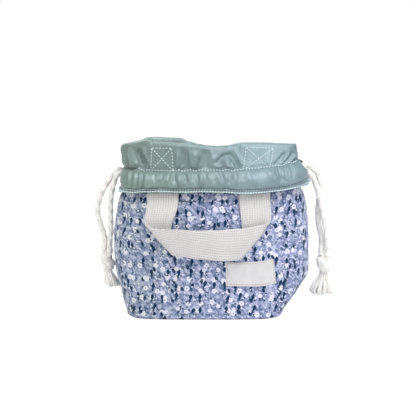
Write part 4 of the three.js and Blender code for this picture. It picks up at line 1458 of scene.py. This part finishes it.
class BAG_OT_channel(bpy.types.Operator):
    """The cord channel with its hem, bulging over the cords and open at both sides"""

    bl_idname = "bag.channel"
    bl_label = "Cord channel"

    def execute(self, context):
        cloth = settings().cloth
        wall = Wall()
        profile = channel_profile(cloth, wall)
        rows = len(profile) - 1
        start = wall.exit_turn()
        first = next(a for a, t in wall.table if t >= start) / wall.table[-1][0]
        for side, name in SIDES:
            creases = seeded_creases(23, 131, 149, 30, 4) if side == BACK else CHANNEL_CREASES

            def place(u, v, side=side, creases=creases):
                k = round(v * rows)
                offset, up = profile[k]
                turn = wall.turn(first + (1 - 2 * first) * u)
                x = wall.point(turn, wall.casing_top).x
                if k < THREAD_ROWS:
                    share = 1 - k / THREAD_ROWS
                    up += (pucker(x, side) + 0.0002) * share
                    offset -= 0.0003 * share
                # The opening on the right gapes, and the hem flares at the right and hugs the
                # body at the left
                gape = plateau(up, -0.002, 0.0035, 0.0065, 0.0098) if k <= OUTSIDE_ROWS else 0.0
                hem = plateau(k, 14, 21, 29, 31)
                offset += (0.0004 * smooth(u, 0.93, 1) - 0.0092 * smooth(-x, 0.074, 0.087)) * hem
                up += hem_rise(x, side) * smooth(k, 9, 22) * (1 - smooth(k, 31, 33))
                turn -= 0.26 * smooth(u, 0.82, 1) * gape * (1.0 if side == FRONT else 0.3)
                point = wall.channel(side * turn, up, offset)
                low = 1 - smooth(up, -0.0125, -0.004)
                point.x += 0.0014 * smooth(u, 0.97, 1) * low
                lift = 0.0104 * smooth(-x, 0.078, 0.0885) + 0.0028 * smooth(u, 0.955, 1)
                point.z += lift * low
                if k <= OUTSIDE_ROWS:
                    body = math.sin(math.pi * min(1.0, (k + 1.5) / (OUTSIDE_ROWS + 1))) ** 0.7
                    z = point.z - wall.rise(turn)
                    out = strokes(point.x, z, creases) * 1.95
                    out += 0.0011 * grain(point.x / 0.014, z / 0.012, side * 8.0)
                    out -= 0.0012 * smooth(abs(point.x), 0.06, 0.085)
                    normal = Vector((point.x * 0.25, point.y, 0.0)).normalized()
                    point += normal * max(out * body, -0.0024)
                elif k <= HEM_ROWS:
                    point.z += 0.0009 * grain(point.x / 0.013, 1.0, side * 15.0)
                    flutter = 0.0005 * grain(point.x / 0.008, 5.0, side * 2.0)
                    point.y += math.copysign(1, point.y) * flutter
                return point

            def heart(middle):
                """The channel's own middle line beside a face."""
                turn = math.acos(max(-1, min(1, -middle.x / 0.09)))
                return Vector((middle.x * 0.93, middle.y * 0.72, 0.1395 + wall.rise(turn)))

            bm = cloth_grid(206, rows, place)
            turn_outwards(bm, heart)
            piece = new_piece(f"channel_{name}", bm, satin())
            thicken(piece, SATIN_THICKNESS, 1)
            dress(piece, "bag", "lining", f"casing_{name}")
        return {"FINISHED"}


# How much higher than a level band each place of a handle hangs, in millimetres
BAND_RISE = [
    (-62, 4.0), (-35, 3.4), (-14, 1.1), (11, 0.1), (28, 1.1), (42, 3.6), (56, 5.6),
]


# How far a handle's webbing goes on above its bend, up under the collar
SEWN_LENGTH = 0.043
# Steps along the webbing, short ones near a folded corner
FINE_STEP, COARSE_STEP, NEAR_CORNER = 0.0011, 0.0026, 0.021


class BAG_OT_handles(bpy.types.Operator):
    """Two handles of cotton webbing, sewn in under the collar and folded over at the corners"""

    bl_idname = "bag.handles"
    bl_label = "Handles"

    def execute(self, context):
        s = settings().strap
        wall = Wall()
        hem = wall.neck - settings().cloth.casing_height / 2 - settings().cloth.hem_depth
        pivot = hem - s.pivot_below_hem
        leg = s.drop - s.pivot_below_hem
        half_roll = math.pi * s.fold_radius / 2
        strip_middle = leg + s.spacing / 2
        leg_x = s.middle - s.spacing / 2
        band = pivot - leg
        root2 = math.sqrt(2)
        half, thick = s.width / 2, s.thickness / 2
        steps = 15
        outline = [(-half + 2 * half * i / steps, thick) for i in range(steps + 1)]
        outline += [(half + 0.0004, thick * 0.5), (half + 0.0005, -thick * 0.5)]
        outline += [(half - 2 * half * i / steps, -thick) for i in range(steps + 1)]
        outline += [(-half - 0.0005, -thick * 0.5), (-half - 0.0004, thick * 0.5)]

        def middle_at(way, w, side):
            """The webbing's middle layer, a way along from the left bend and w to one side."""
            mirrored = way > strip_middle
            run = 2 * strip_middle - way if mirrored else way
            # How far the place lies past the slanting fold at the corner, and how far round it
            past = (run - leg - w) / root2
            roll = min(math.pi, max(0.0, (past + half_roll) / s.fold_radius))
            reach = s.fold_radius * math.sin(roll)
            if past < -half_roll:
                reach = past + half_roll
            if past > half_roll:
                reach = half_roll - past
            on_fold = (run - leg + w) / 2
            x = leg_x + on_fold - reach / root2
            x += half_roll / root2 * (1 - smooth(run, -0.004, 0.026))
            forward = s.fold_radius * (1 - math.cos(roll))
            over = forward / (2 * s.fold_radius)
            z = band - on_fold - reach / root2
            real_x = 2 * s.middle - x if mirrored else x
            share = (real_x - s.middle) / s.spacing
            hangs = smooth(run, leg - 0.034, leg - 0.012)
            # Where the band leans, its upper edge stands out and it spans less height
            lean = 1 - smooth(real_x, -0.045, 0.02)
            if side == BACK:
                lean = smooth(real_x, -0.02, 0.045)
            above_middle = z - (band - half_roll / root2)
            z -= 0.13 * lean * over * above_middle
            z += along(BAND_RISE, real_x * 1000 * side) / 1000 * hangs
            curl = 0.27 * lean * over * (above_middle + 0.0135)
            # The left leg is drawn sideways below the hem, and the front's corners aren't square
            if not mirrored:
                edge = (w / half + 1) / 2
                drawn = smooth(run, -0.002, 0.031) * (1 - over)
                real_x -= drawn * (0.002 + 0.0028 * edge) * side
            if side == FRONT:
                real_x -= 0.0026 * smooth(real_x, 0.048, 0.058) * hangs
            if side == FRONT and not mirrored:
                corner = plateau(run, leg - 0.028, leg - 0.010, leg + 0.012, leg + 0.035)
                real_x += 0.0017 * corner * (1 - smooth(real_x, -0.064, -0.052))
            depth = wall.face_behind(real_x, z, side) + s.rest + thick + forward + max(0.0, curl)
            depth -= 0.0007 * smooth(z, hem + 0.004, hem + 0.014)
            depth += 0.0008 * over * math.sin(math.pi * min(1, max(0, share + 0.5))) + 0.0003
            return Vector((real_x, -side * depth, z))

        # Places along the whole strip, the same from both ends
        total = 2 * (strip_middle + SEWN_LENGTH)
        ways = []
        way = 0.0
        while way < total / 2:
            ways.append(way)
            near_corner = abs(way - SEWN_LENGTH - leg) < NEAR_CORNER
            way += FINE_STEP if near_corner else COARSE_STEP
        ways = ways + [total / 2] + [total - w for w in reversed(ways)]
        rows = len(ways) - 1
        for side, name in SIDES:

            def place(u, v, side=side):
                w, t = outline[round(u * len(outline)) % len(outline)]
                way = ways[round(v * rows)] - SEWN_LENGTH
                near = 0.0002
                lengthwise = middle_at(way + near, w, side) - middle_at(way - near, w, side)
                crosswise = middle_at(way, w + near, side) - middle_at(way, w - near, side)
                normal = lengthwise.cross(crosswise).normalized()
                unevenness = 0.00025 * grain(way / 0.012, w / 0.01, side * 7.0)
                return middle_at(way, w, side) + normal * (t + unevenness)

            bm = cloth_grid(len(outline), rows, place, closed=True)
            for is_left in (True, False):
                rim = [e for e in bm.edges if e.is_boundary]
                rim = [e for e in rim if (e.verts[0].co.x < s.middle) == is_left]
                bmesh.ops.edgeloop_fill(bm, edges=rim)
            piece = new_piece(f"webbing_{name}", bm, webbing_cotton(), closed=True)
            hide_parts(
                f"handle_{name}", f"handle_end_{name}_left", f"handle_end_{name}_right"
            )
            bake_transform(piece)
        return {"FINISHED"}


def looking_at(name):
    piece = bpy.data.objects[name]
    return BVHTree.FromObject(piece, bpy.context.evaluated_depsgraph_get())


# How far the label's lower and upper edges lie off a straight line, in millimetres, from its left
# end (0) to its right one (1)
LABEL_LOW = [(0, 1.85), (0.1, 1.2), (0.3, 0.1), (0.6, -1.1), (0.75, -1.25), (1, 0.25)]
LABEL_HIGH = [(0, 0.9), (0.1, 0.2), (0.3, -0.35), (0.6, -0.8), (0.8, -0.6), (1, 0.3)]


def label_spot(u, v):
    """Where a point of the label lies on the front, across and up."""
    s = settings().label
    low, high = along(LABEL_LOW, u), along(LABEL_HIGH, u)
    x = (u - 0.5) * s.width + (v * (1.15 - 2.9 * u) - 0.5 * (1 - v) * (1 - u)) / 1000
    z = (v - 0.5) * s.height + (low + (high - low) * v) / 1000
    return (
        s.x + x * math.cos(s.turn) - z * math.sin(s.turn),
        s.z + x * math.sin(s.turn) + z * math.cos(s.turn),
    )


class BAG_OT_label(bpy.types.Operator):
    """A bare woven label with turned-in edges, sewn to the front"""

    bl_idname = "bag.label"
    bl_label = "Label"

    def execute(self, context):
        s = settings().label
        surface = looking_at("printed_front")
        clearance = 0.0007

        def place(u, v):
            x, z = label_spot(u, v)
            edge = min(min(u, 1 - u) * s.width, min(v, 1 - v) * s.height)
            swell = 0.0005 * smooth(edge, 0.0, 0.0009) * (1 - 0.6 * smooth(edge, 0.0022, 0.0032))
            sewn = 0.00035 * bell(edge - 0.0014, 0.0005)
            out = clearance + swell - sewn + 0.0002 * grain(u * 7, v * 4, 8.0)
            hit = surface.ray_cast(Vector((x, -0.2, z)), Vector((0, 1, 0)))[0]
            return Vector((x, hit.y - out, z))

        bm = cloth_grid(70, 36, place)
        turn_outwards(bm, Vector((0, 0.1, 0.05)))
        canvas = woven("label canvas", settings().colours.label, 0.0007)
        piece = new_piece("woven_label", bm, canvas)
        thicken(piece, 0.0006, 1)
        dress(piece, "bag", "label_tape", "label")
        return {"FINISHED"}


# Cords


# Middles of the knots
KNOTS = {LEFT: Vector((-0.1076, 0, 0.0518)), RIGHT: Vector((0.1155, 0, 0.0484))}
# Places on each strand's way from the channel down to its knot, in millimetres
STRANDS = {
    (LEFT, FRONT): [
        (-96.5, -3.2, 141), (-100, -3.1, 132), (-102.8, -3, 118), (-103.4, -3, 100),
        (-103.2, -2.9, 85), (-104.6, -2.8, 72),
    ],
    (LEFT, BACK): [
        (-93.4, 3.4, 146.4), (-98.6, 3.3, 143), (-105, 3.4, 135.5), (-113.6, 3.2, 120),
        (-117.2, 3, 104), (-113.9, 2.9, 89), (-110, 2.8, 75),
    ],
    (RIGHT, FRONT): [
        (102.2, -3.2, 139.5), (106.4, -3.4, 130.3), (109.8, -3.4, 119), (113.4, -3.2, 103),
        (116.8, -3, 87), (118.2, -2.8, 74),
    ],
    (RIGHT, BACK): [
        (94.0, 4.2, 151.4), (100.2, 3.8, 149.4), (106.4, 3.4, 144.8), (110.0, 3.4, 138),
        (111.0, 3.4, 129), (110.2, 3.3, 116), (109.2, 3.1, 104), (110.0, 2.9, 90),
        (113.2, 2.8, 75),
    ],
}


def braid(angle, way):
    """Radius factor of a cord whose yarns cross each other, three each way."""
    one = math.sin(3 * angle + way * 2 * math.pi / BRAID_PITCH)
    two = math.sin(3 * angle - way * 2 * math.pi / BRAID_PITCH + 1.2)
    return 0.95 + 0.115 * max(one, two) + 0.03 * grain(way / 0.004, angle)


# Thickness of a knot's loop, of the strands through it and of a cord in the channel, as shares of
# the cord's own
LOOP_SHARE, STRAND_SHARE, HIDDEN_SHARE = 1.3, 0.96, 0.86


class BAG_OT_cords(bpy.types.Operator):
    """Four free ends of braided cord, and the two cords inside the channel"""

    bl_idname = "bag.cords"
    bl_label = "Drawcords"

    def execute(self, context):
        s = settings().cord
        wall = Wall()
        for (hand, side), places in STRANDS.items():
            turn = math.pi - wall.exit_turn() if hand > 0 else wall.exit_turn()
            up = -hand * s.spacing / 2
            start = wall.channel(side * turn, up, wall.cord_offset)
            start.y += side * s.end_gap
            # It leaves the channel round a quarter of a circle, so that the strands come together
            bend = abs(start.y) - s.spacing / 2
            points = [start - Vector((0, side * 0.004, 0))]
            for degrees in (0, 30, 60, 90):
                a = math.radians(degrees)
                step = Vector((hand * (1 - math.cos(a)), side * math.sin(a), 0)) * bend
                points.append(start + step)
            points += [Vector(place) / 1000 for place in places]
            knot = KNOTS[hand]
            end = knot + Vector((side * s.spacing / 2, 0, s.knot_height / 2 + s.end_gap))
            points.append(end)
            path = steps_of(points, 300)
            reach = distances(path)[-1]
            bm = tube(path, s.diameter / 2, 22, relief=braid)
            which = "inner" if side == FRONT else "outer"
            piece = new_piece(f"cord_{HANDS[hand]}_{which}", bm, braided_cotton(), closed=True)
            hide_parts(f"drawcord_{HANDS[hand]}_{which}")
            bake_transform(piece)
        for hand in (LEFT, RIGHT):
            start = wall.exit_turn() + (math.pi if hand > 0 else 0)
            turns = 2 * (math.pi - wall.exit_turn())
            line = []
            for i in range(97):
                turn = start + turns * i / 96
                turn = turn - 2 * math.pi if turn > math.pi else turn
                line.append(wall.channel(turn, -hand * s.spacing / 2, wall.cord_offset - 0.0010))
            path = evenly(line, 150)
            bm = tube(path, s.diameter / 2 * HIDDEN_SHARE, 12)
            piece = new_piece(
                f"cord_in_channel_{HANDS[hand]}", bm, braided_cotton(), closed=True
            )
            dress(piece, "bag", "cotton_cord", f"drawcord_run_{HANDS[hand]}")
        return {"FINISHED"}


def add_part(whole, part):
    mesh = bpy.data.meshes.new("part")
    part.to_mesh(mesh)
    part.free()
    whole.from_mesh(mesh)
    bpy.data.meshes.remove(mesh)


def yarn(whole, base, tip, top_width, bottom_width, angle, far, thickness, dice):
    """One soft yarn of a frayed end, from under the knot out to the tip."""
    out = Vector((math.cos(angle), 0.78 * math.sin(angle), 0))
    down = tip - base
    curl = Vector((dice.uniform(-1, 1), dice.uniform(-1, 1), 0)) * 0.0012
    phase = dice.uniform(0, 6)
    path = []
    for i in range(17):
        t = i / 16
        spread = top_width + (bottom_width - top_width) * smooth(t, 0.1, 0.95)
        wave = curl * math.sin(5.0 * t + phase) * t
        path.append(base + down * t + out * spread * far + wave)
    seed = dice.uniform(0, 90)

    def relief(around, way):
        fluff = grain(way / 0.0013 + seed, around * 0.8, seed)
        return 1 + 0.16 * math.sin(2 * around + way / 0.0006 + seed) + 0.22 * fluff

    def radius(v):
        return thickness * (0.62 + 0.5 * smooth(v, 0.05, 0.7)) * (1 - 0.55 * smooth(v, 0.9, 1))

    add_part(whole, tube(path, radius, 10, relief=relief))


# Length, sideways lean, radius at the bottom and number of yarns of each frayed end
FRAYED = {LEFT: (0.0188, 0.0048, 0.0070, 46), RIGHT: (0.0236, -0.0026, 0.0116, 62)}


class BAG_OT_knots(bpy.types.Operator):
    """Overhand knots tied in both strands at once, with frayed ends below"""

    bl_idname = "bag.knots"
    bl_label = "Knots and tassels"

    def execute(self, context):
        s = settings().cord
        for hand in (LEFT, RIGHT):
            heart = KNOTS[hand]
            half = s.diameter / 2
            # Half the loop's width and depth and its whole height, at the middle of its cord
            wide, deep = s.knot_width / 2 - 1.24 * half, s.knot_depth / 2 - 1.24 * half
            drop = s.knot_height - s.diameter - 0.004
            turns = 2.0

            def wrap(t):
                """The loop round both strands, thickest in its middle."""
                angle = 0.9 + 2 * math.pi * turns * t
                swell = 0.72 + 0.3 * math.sin(math.pi * min(1, t * 1.15))
                swell *= smooth(t, -0.06, 0.05) * smooth(1 - t, -0.06, 0.05)
                slant = 0.0032 * math.cos(angle + 0.35) * swell
                return heart + Vector(
                    (
                        wide * math.cos(angle) * swell - hand * 0.0006,
                        deep * math.sin(angle) * swell,
                        drop * (0.5 - t) - slant,
                    )
                )

            top = Vector((0, 0, s.knot_height / 2))
            whole = bmesh.new()
            paths = [[wrap(i / 120) for i in range(121)]]
            for k in (-1, 1):
                start = top + Vector((k * s.spacing / 2, 0, s.end_gap * 0.6))
                middle = Vector((k * 0.0016, 0.0012 * hand, 0.001))
                end = Vector((k * 0.0018, 0, -s.knot_height / 2 - 0.001))
                upper = heart + top * 0.55 + middle
                paths.append(steps_of([heart + start, upper, heart + middle, heart + end], 40))
            for i, path in enumerate(paths):
                share = LOOP_SHARE if i == 0 else STRAND_SHARE
                add_part(whole, tube(path, half * share, 20, relief=braid))
            knot = new_piece(f"knotted_cord_{HANDS[hand]}", whole, braided_cotton(), closed=True)
            dress(knot, f"{HANDS[hand]}_cord_ends", "cotton_cord", f"knot_{HANDS[hand]}")

            dice = random.Random(5 + hand)
            long, lean, bottom, count = FRAYED[hand]
            base = heart + Vector((0, 0, -s.knot_height / 2 + 0.0026))
            whole = bmesh.new()
            for i in range(count):
                # Spread evenly over a round brush, as seeds lie in a flower head
                far = math.sqrt((i + 0.5) / count)
                angle = 2.4 * i + dice.uniform(-0.2, 0.2)
                drop = long + 0.0016 + dice.uniform(-0.0016, 0.0008)
                drop -= 0.0022 * far * abs(math.sin(1.5 * angle))
                tip = base + Vector((lean, 0, -drop))
                thickness = dice.uniform(0.00105, 0.0015)
                yarn(whole, base, tip, 0.0034, bottom, angle, far, thickness, dice)
            loose = braided_cotton("loose cotton yarn", True)
            tassel = new_piece(f"frayed_end_{HANDS[hand]}", whole, loose, closed=True)
            dress(tassel, f"{HANDS[hand]}_cord_ends", "cotton_cord", f"tassel_{HANDS[hand]}")
        return {"FINISHED"}


# Stitching


def stitch(bm, start, end, normal, thickness):
    """One stitch as a small long bead that sinks into the cloth at both ends."""
    ahead = (end - start).normalized()
    across = normal.cross(ahead).normalized()
    up = ahead.cross(across)
    size = Matrix.Diagonal(((end - start).length / 2, thickness, thickness * 0.8, 1))
    turn = Matrix((ahead, across, up)).transposed().to_4x4()
    place = Matrix.Translation((start + end) / 2 + normal * thickness * 0.35)
    bmesh.ops.create_icosphere(bm, subdivisions=2, radius=1, matrix=place @ turn @ size)


def sew(name, rows, material, long, gap, thickness):
    """Stitches along rows of (place, normal) that lie on the cloth."""
    bm = bmesh.new()
    for row in rows:
        reach = distances([place for place, _ in row])
        count = max(1, round(reach[-1] / (long + gap)))
        pitch = reach[-1] / count

        def at(way):
            for i in range(len(row) - 1):
                if way <= reach[i + 1] or i == len(row) - 2:
                    t = (way - reach[i]) / max(1e-9, reach[i + 1] - reach[i])
                    return row[i][0].lerp(row[i + 1][0], t), row[i][1]

        for i in range(count):
            start, normal = at(i * pitch + gap / 2)
            end, _ = at((i + 1) * pitch - gap / 2)
            stitch(bm, start, end, normal, thickness)
    piece = new_piece(name, bm, material, closed=True)
    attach(piece, "bag")


def cast(surface, side, points):
    """Points (x, z) of a front or back view, brought down on the cloth."""
    row = []
    for x, z in points:
        hit, normal, _, _ = surface.ray_cast(Vector((x, -side * 0.2, z)), Vector((0, side, 0)))
        if hit:
            row.append((hit, normal if normal.y * side < 0 else -normal))
    return row


def between(a, b):
    """Even places on a straight line from a to b, both (across, up)."""
    steps = 14
    across, up = b[0] - a[0], b[1] - a[1]
    return [(a[0] + across * i / steps, a[1] + up * i / steps) for i in range(steps + 1)]


# Corners of the crossed boxes on the front collar: top left, top right, bottom right, bottom left
CROSSED_BOXES = [
    [(-0.0602, 0.1706), (-0.0400, 0.1706), (-0.0384, 0.1484), (-0.0606, 0.1484)],
    [(0.0345, 0.1708), (0.0618, 0.1696), (0.0578, 0.1502), (0.0312, 0.1492)],
]


def box_corner(wall, side, x, z):
    """A box's corner: the back's follow the back rim where it lies lower than the front's."""
    if side == FRONT:
        return x, z
    across = -x / (wall.at(wall.rim)[0] / 2)
    lower = max(0.0, wall.dip(across, wall.rim, BACK) - wall.dip(across, wall.rim, FRONT))
    return x, z - lower * smooth(z, 0.150, 0.168)


class BAG_OT_stitching(bpy.types.Operator):
    """Crossed boxes over the handle ends, the gathering thread, the hem and the label's edge"""

    bl_idname = "bag.stitching"
    bl_label = "Stitching"

    def execute(self, context):
        thread = sewing_thread("pale thread", settings().colours.thread)
        wall = Wall()
        cloth = settings().cloth
        steps = 240
        for side, name in SIDES:
            collar = looking_at(f"collar_{name}")
            rows = []
            for box in CROSSED_BOXES:
                a, b, c, d = [box_corner(wall, side, x, z) for x, z in box]
                for start, end in ((a, b), (b, c), (c, d), (d, a), (a, c), (d, b)):
                    rows.append(cast(collar, side, between(start, end)))
            rows = [r for r in rows if len(r) > 2]
            sew(f"crossed_boxes_{name}", rows, thread, long=0.0021, gap=0.0011, thickness=0.00030)

            start = wall.exit_turn()
            row = []
            for i in range(steps + 1):
                turn = start + (math.pi - 2 * start) * i / steps
                x = wall.point(turn, wall.casing_top).x
                up = cloth.casing_height / 2 + pucker(x, side) + 0.0004
                offset = wall.cuff_offset + cloth.cuff_thickness - 0.0006
                point = wall.channel(side * turn, up, offset)
                row.append((point, Vector((0, -side, 0))))
            gathering = f"gathering_thread_{name}"
            sew(gathering, [row], thread, long=0.0022, gap=0.0008, thickness=0.00050)

            channel = looking_at(f"channel_{name}")
            rows = []
            hem_top = -cloth.casing_height / 2
            for level in (hem_top - 0.0004, hem_top - cloth.hem_depth + 0.0003):
                row = []
                for i in range(steps + 1):
                    turn = start + (math.pi - 2 * start) * (i + 0.5) / (steps + 1)
                    up = level + hem_rise(wall.point(turn, wall.casing_top).x, side)
                    far = wall.channel(side * turn, up, 0.06)
                    near = wall.channel(side * turn, up, 0.0)
                    hit, normal, _, _ = channel.ray_cast(far, (near - far).normalized())
                    if hit:
                        out = (far - near).normalized()
                        row.append((hit, normal if normal.dot(out) > 0 else -normal))
                rows.append(row)
            sew(f"hem_stitches_{name}", rows, thread, long=0.0022, gap=0.0005, thickness=0.00040)

        label = looking_at("woven_label")
        s = settings().label
        # The seam keeps off the label's sides, its lower edge and its upper edge by these lengths
        left, low, high = 0.0014 / s.width, 0.0021 / s.height, 1 - 0.0016 / s.height
        corners = [(left, high), (1 - left, high), (1 - left, low), (left, low)]
        rows = [
            cast(label, FRONT, [label_spot(*p) for p in between(a, b)])
            for a, b in zip(corners, corners[1:] + corners[:1])
        ]
        material = sewing_thread("cream thread", settings().colours.label_thread)
        sew("label_stitches", rows, material, long=0.0020, gap=0.0007, thickness=0.00026)
        return {"FINISHED"}


# Stage


class BAG_OT_stage(bpy.types.Operator):
    """White floor, soft light and the camera"""

    bl_idname = "bag.stage"
    bl_label = "Stage"

    def execute(self, context):
        scene = context.scene
        s = settings().stage
        scene.view_settings.view_transform = "Standard"

        bm = bmesh.new()
        bmesh.ops.create_grid(bm, x_segments=1, y_segments=1, size=3.0)
        floor_material = bpy.data.materials.new("white floor")
        w = fresh_wires(floor_material)
        # The camera sees the floor as four parts white light and one part paper with its shadows
        paper = w.node("ShaderNodeBsdfDiffuse", {"Color": (0.9, 0.9, 0.9, 1)})
        white = w.node("ShaderNodeEmission", {"Color": (1, 1, 1, 1), "Strength": 1.16})
        share = w.times(w.seen(), 0.8)
        both = w.node("ShaderNodeMixShader", {0: share, 1: paper.outputs[0], 2: white.outputs[0]})
        w.node("ShaderNodeOutputMaterial", {0: both.outputs[0]})
        floor = new_piece("floor", bm, floor_material)

        world = bpy.data.worlds.new("white room")
        scene.world = world
        w = fresh_wires(world)
        # The camera sees a white room, and the bag is lit by a softer one
        soft = w.node("ShaderNodeBackground", {"Color": (0.96, 0.98, 1, 1), "Strength": 0.46})
        white = w.node("ShaderNodeBackground", {"Color": (1, 1, 1, 1), "Strength": 1.0})
        both = w.node("ShaderNodeMixShader", {0: w.seen(), 1: soft.outputs[0], 2: white.outputs[0]})
        w.node("ShaderNodeOutputWorld", {0: both.outputs[0]})

        # Each lamp's name, place, size, power and colour; all look at the bag's middle
        middle = Vector((0, 0, 0.09))
        lamps = (
            ("key_light", (0.95, -0.85, 0.85), 1.0, 3.0, (0.94, 0.97, 1.0)),
            ("fill_light", (-1.2, -1.0, 0.5), 1.2, 9.0, (1.0, 0.99, 0.97)),
            ("front_light", (0.3, -0.42, 1.42), 1.1, 21.0, (0.98, 0.99, 1.0)),
            ("back_light", (-0.3, 0.9, 1.1), 0.7, 6.0, (0.95, 0.98, 1.0)),
        )
        for name, place, size, power, tint in lamps:
            lamp = bpy.data.lights.new(name, "AREA")
            lamp.size = size
            lamp.energy = power
            lamp.color = tint
            lamp_object = bpy.data.objects.new(name, lamp)
            lamp_object.location = place
            ahead = middle - Vector(place)
            lamp_object.rotation_euler = ahead.to_track_quat("-Z", "Y").to_euler()
            scene.collection.objects.link(lamp_object)

        camera = bpy.data.cameras.new("camera")
        camera.lens = s.lens
        camera.sensor_width = 36
        camera.clip_start = 0.05
        camera_object = bpy.data.objects.new("camera", camera)
        target = Vector((s.target_x, 0, s.target_z))
        back = Vector((0, -math.cos(s.elevation), math.sin(s.elevation)))
        camera_object.location = target + back * s.distance
        camera_object.rotation_euler = (-back).to_track_quat("-Z", "Y").to_euler()
        scene.collection.objects.link(camera_object)
        scene.camera = camera_object
        return {"FINISHED"}


class VIEW3D_PT_snack_bag(bpy.types.Panel):
    """Lists the steps that build the bag"""

    bl_label = "Snack bag"
    bl_category = "Snack bag"
    bl_space_type = "VIEW_3D"
    bl_region_type = "UI"

    def draw(self, context):
        for operator in OPERATORS:
            self.layout.operator(operator.bl_idname)
        for group in ("wall", "cloth", "strap", "cord", "label", "colours", "stage"):
            values = getattr(context.scene.snack_bag, group)
            box = self.layout.box()
            box.label(text=group.capitalize())
            for key in values.__annotations__:
                box.prop(values, key)


OPERATORS = (
    BAG_OT_stage,
    BAG_OT_cords,
    BAG_OT_knots,
    BAG_OT_printed_body,
    BAG_OT_inside,
    BAG_OT_collar,
    BAG_OT_channel,
    BAG_OT_handles,
    BAG_OT_label,
    BAG_OT_stitching,
)
GROUPS = (
    WallSizes,
    ClothSizes,
    StrapSizes,
    CordSizes,
    LabelSizes,
    Colours,
    StageSizes,
    BagSettings,
)


def register():
    for item in (*GROUPS, *OPERATORS, VIEW3D_PT_snack_bag):
        bpy.utils.register_class(item)
    bpy.types.Scene.snack_bag = bpy.props.PointerProperty(type=BagSettings)


def unregister():
    del bpy.types.Scene.snack_bag
    for item in reversed((*GROUPS, *OPERATORS, VIEW3D_PT_snack_bag)):
        bpy.utils.unregister_class(item)


def main():
    register()
    for operator in OPERATORS:
        group, name = operator.bl_idname.split(".")
        getattr(getattr(bpy.ops, group), name)()


if __name__ == "__main__":
    main()
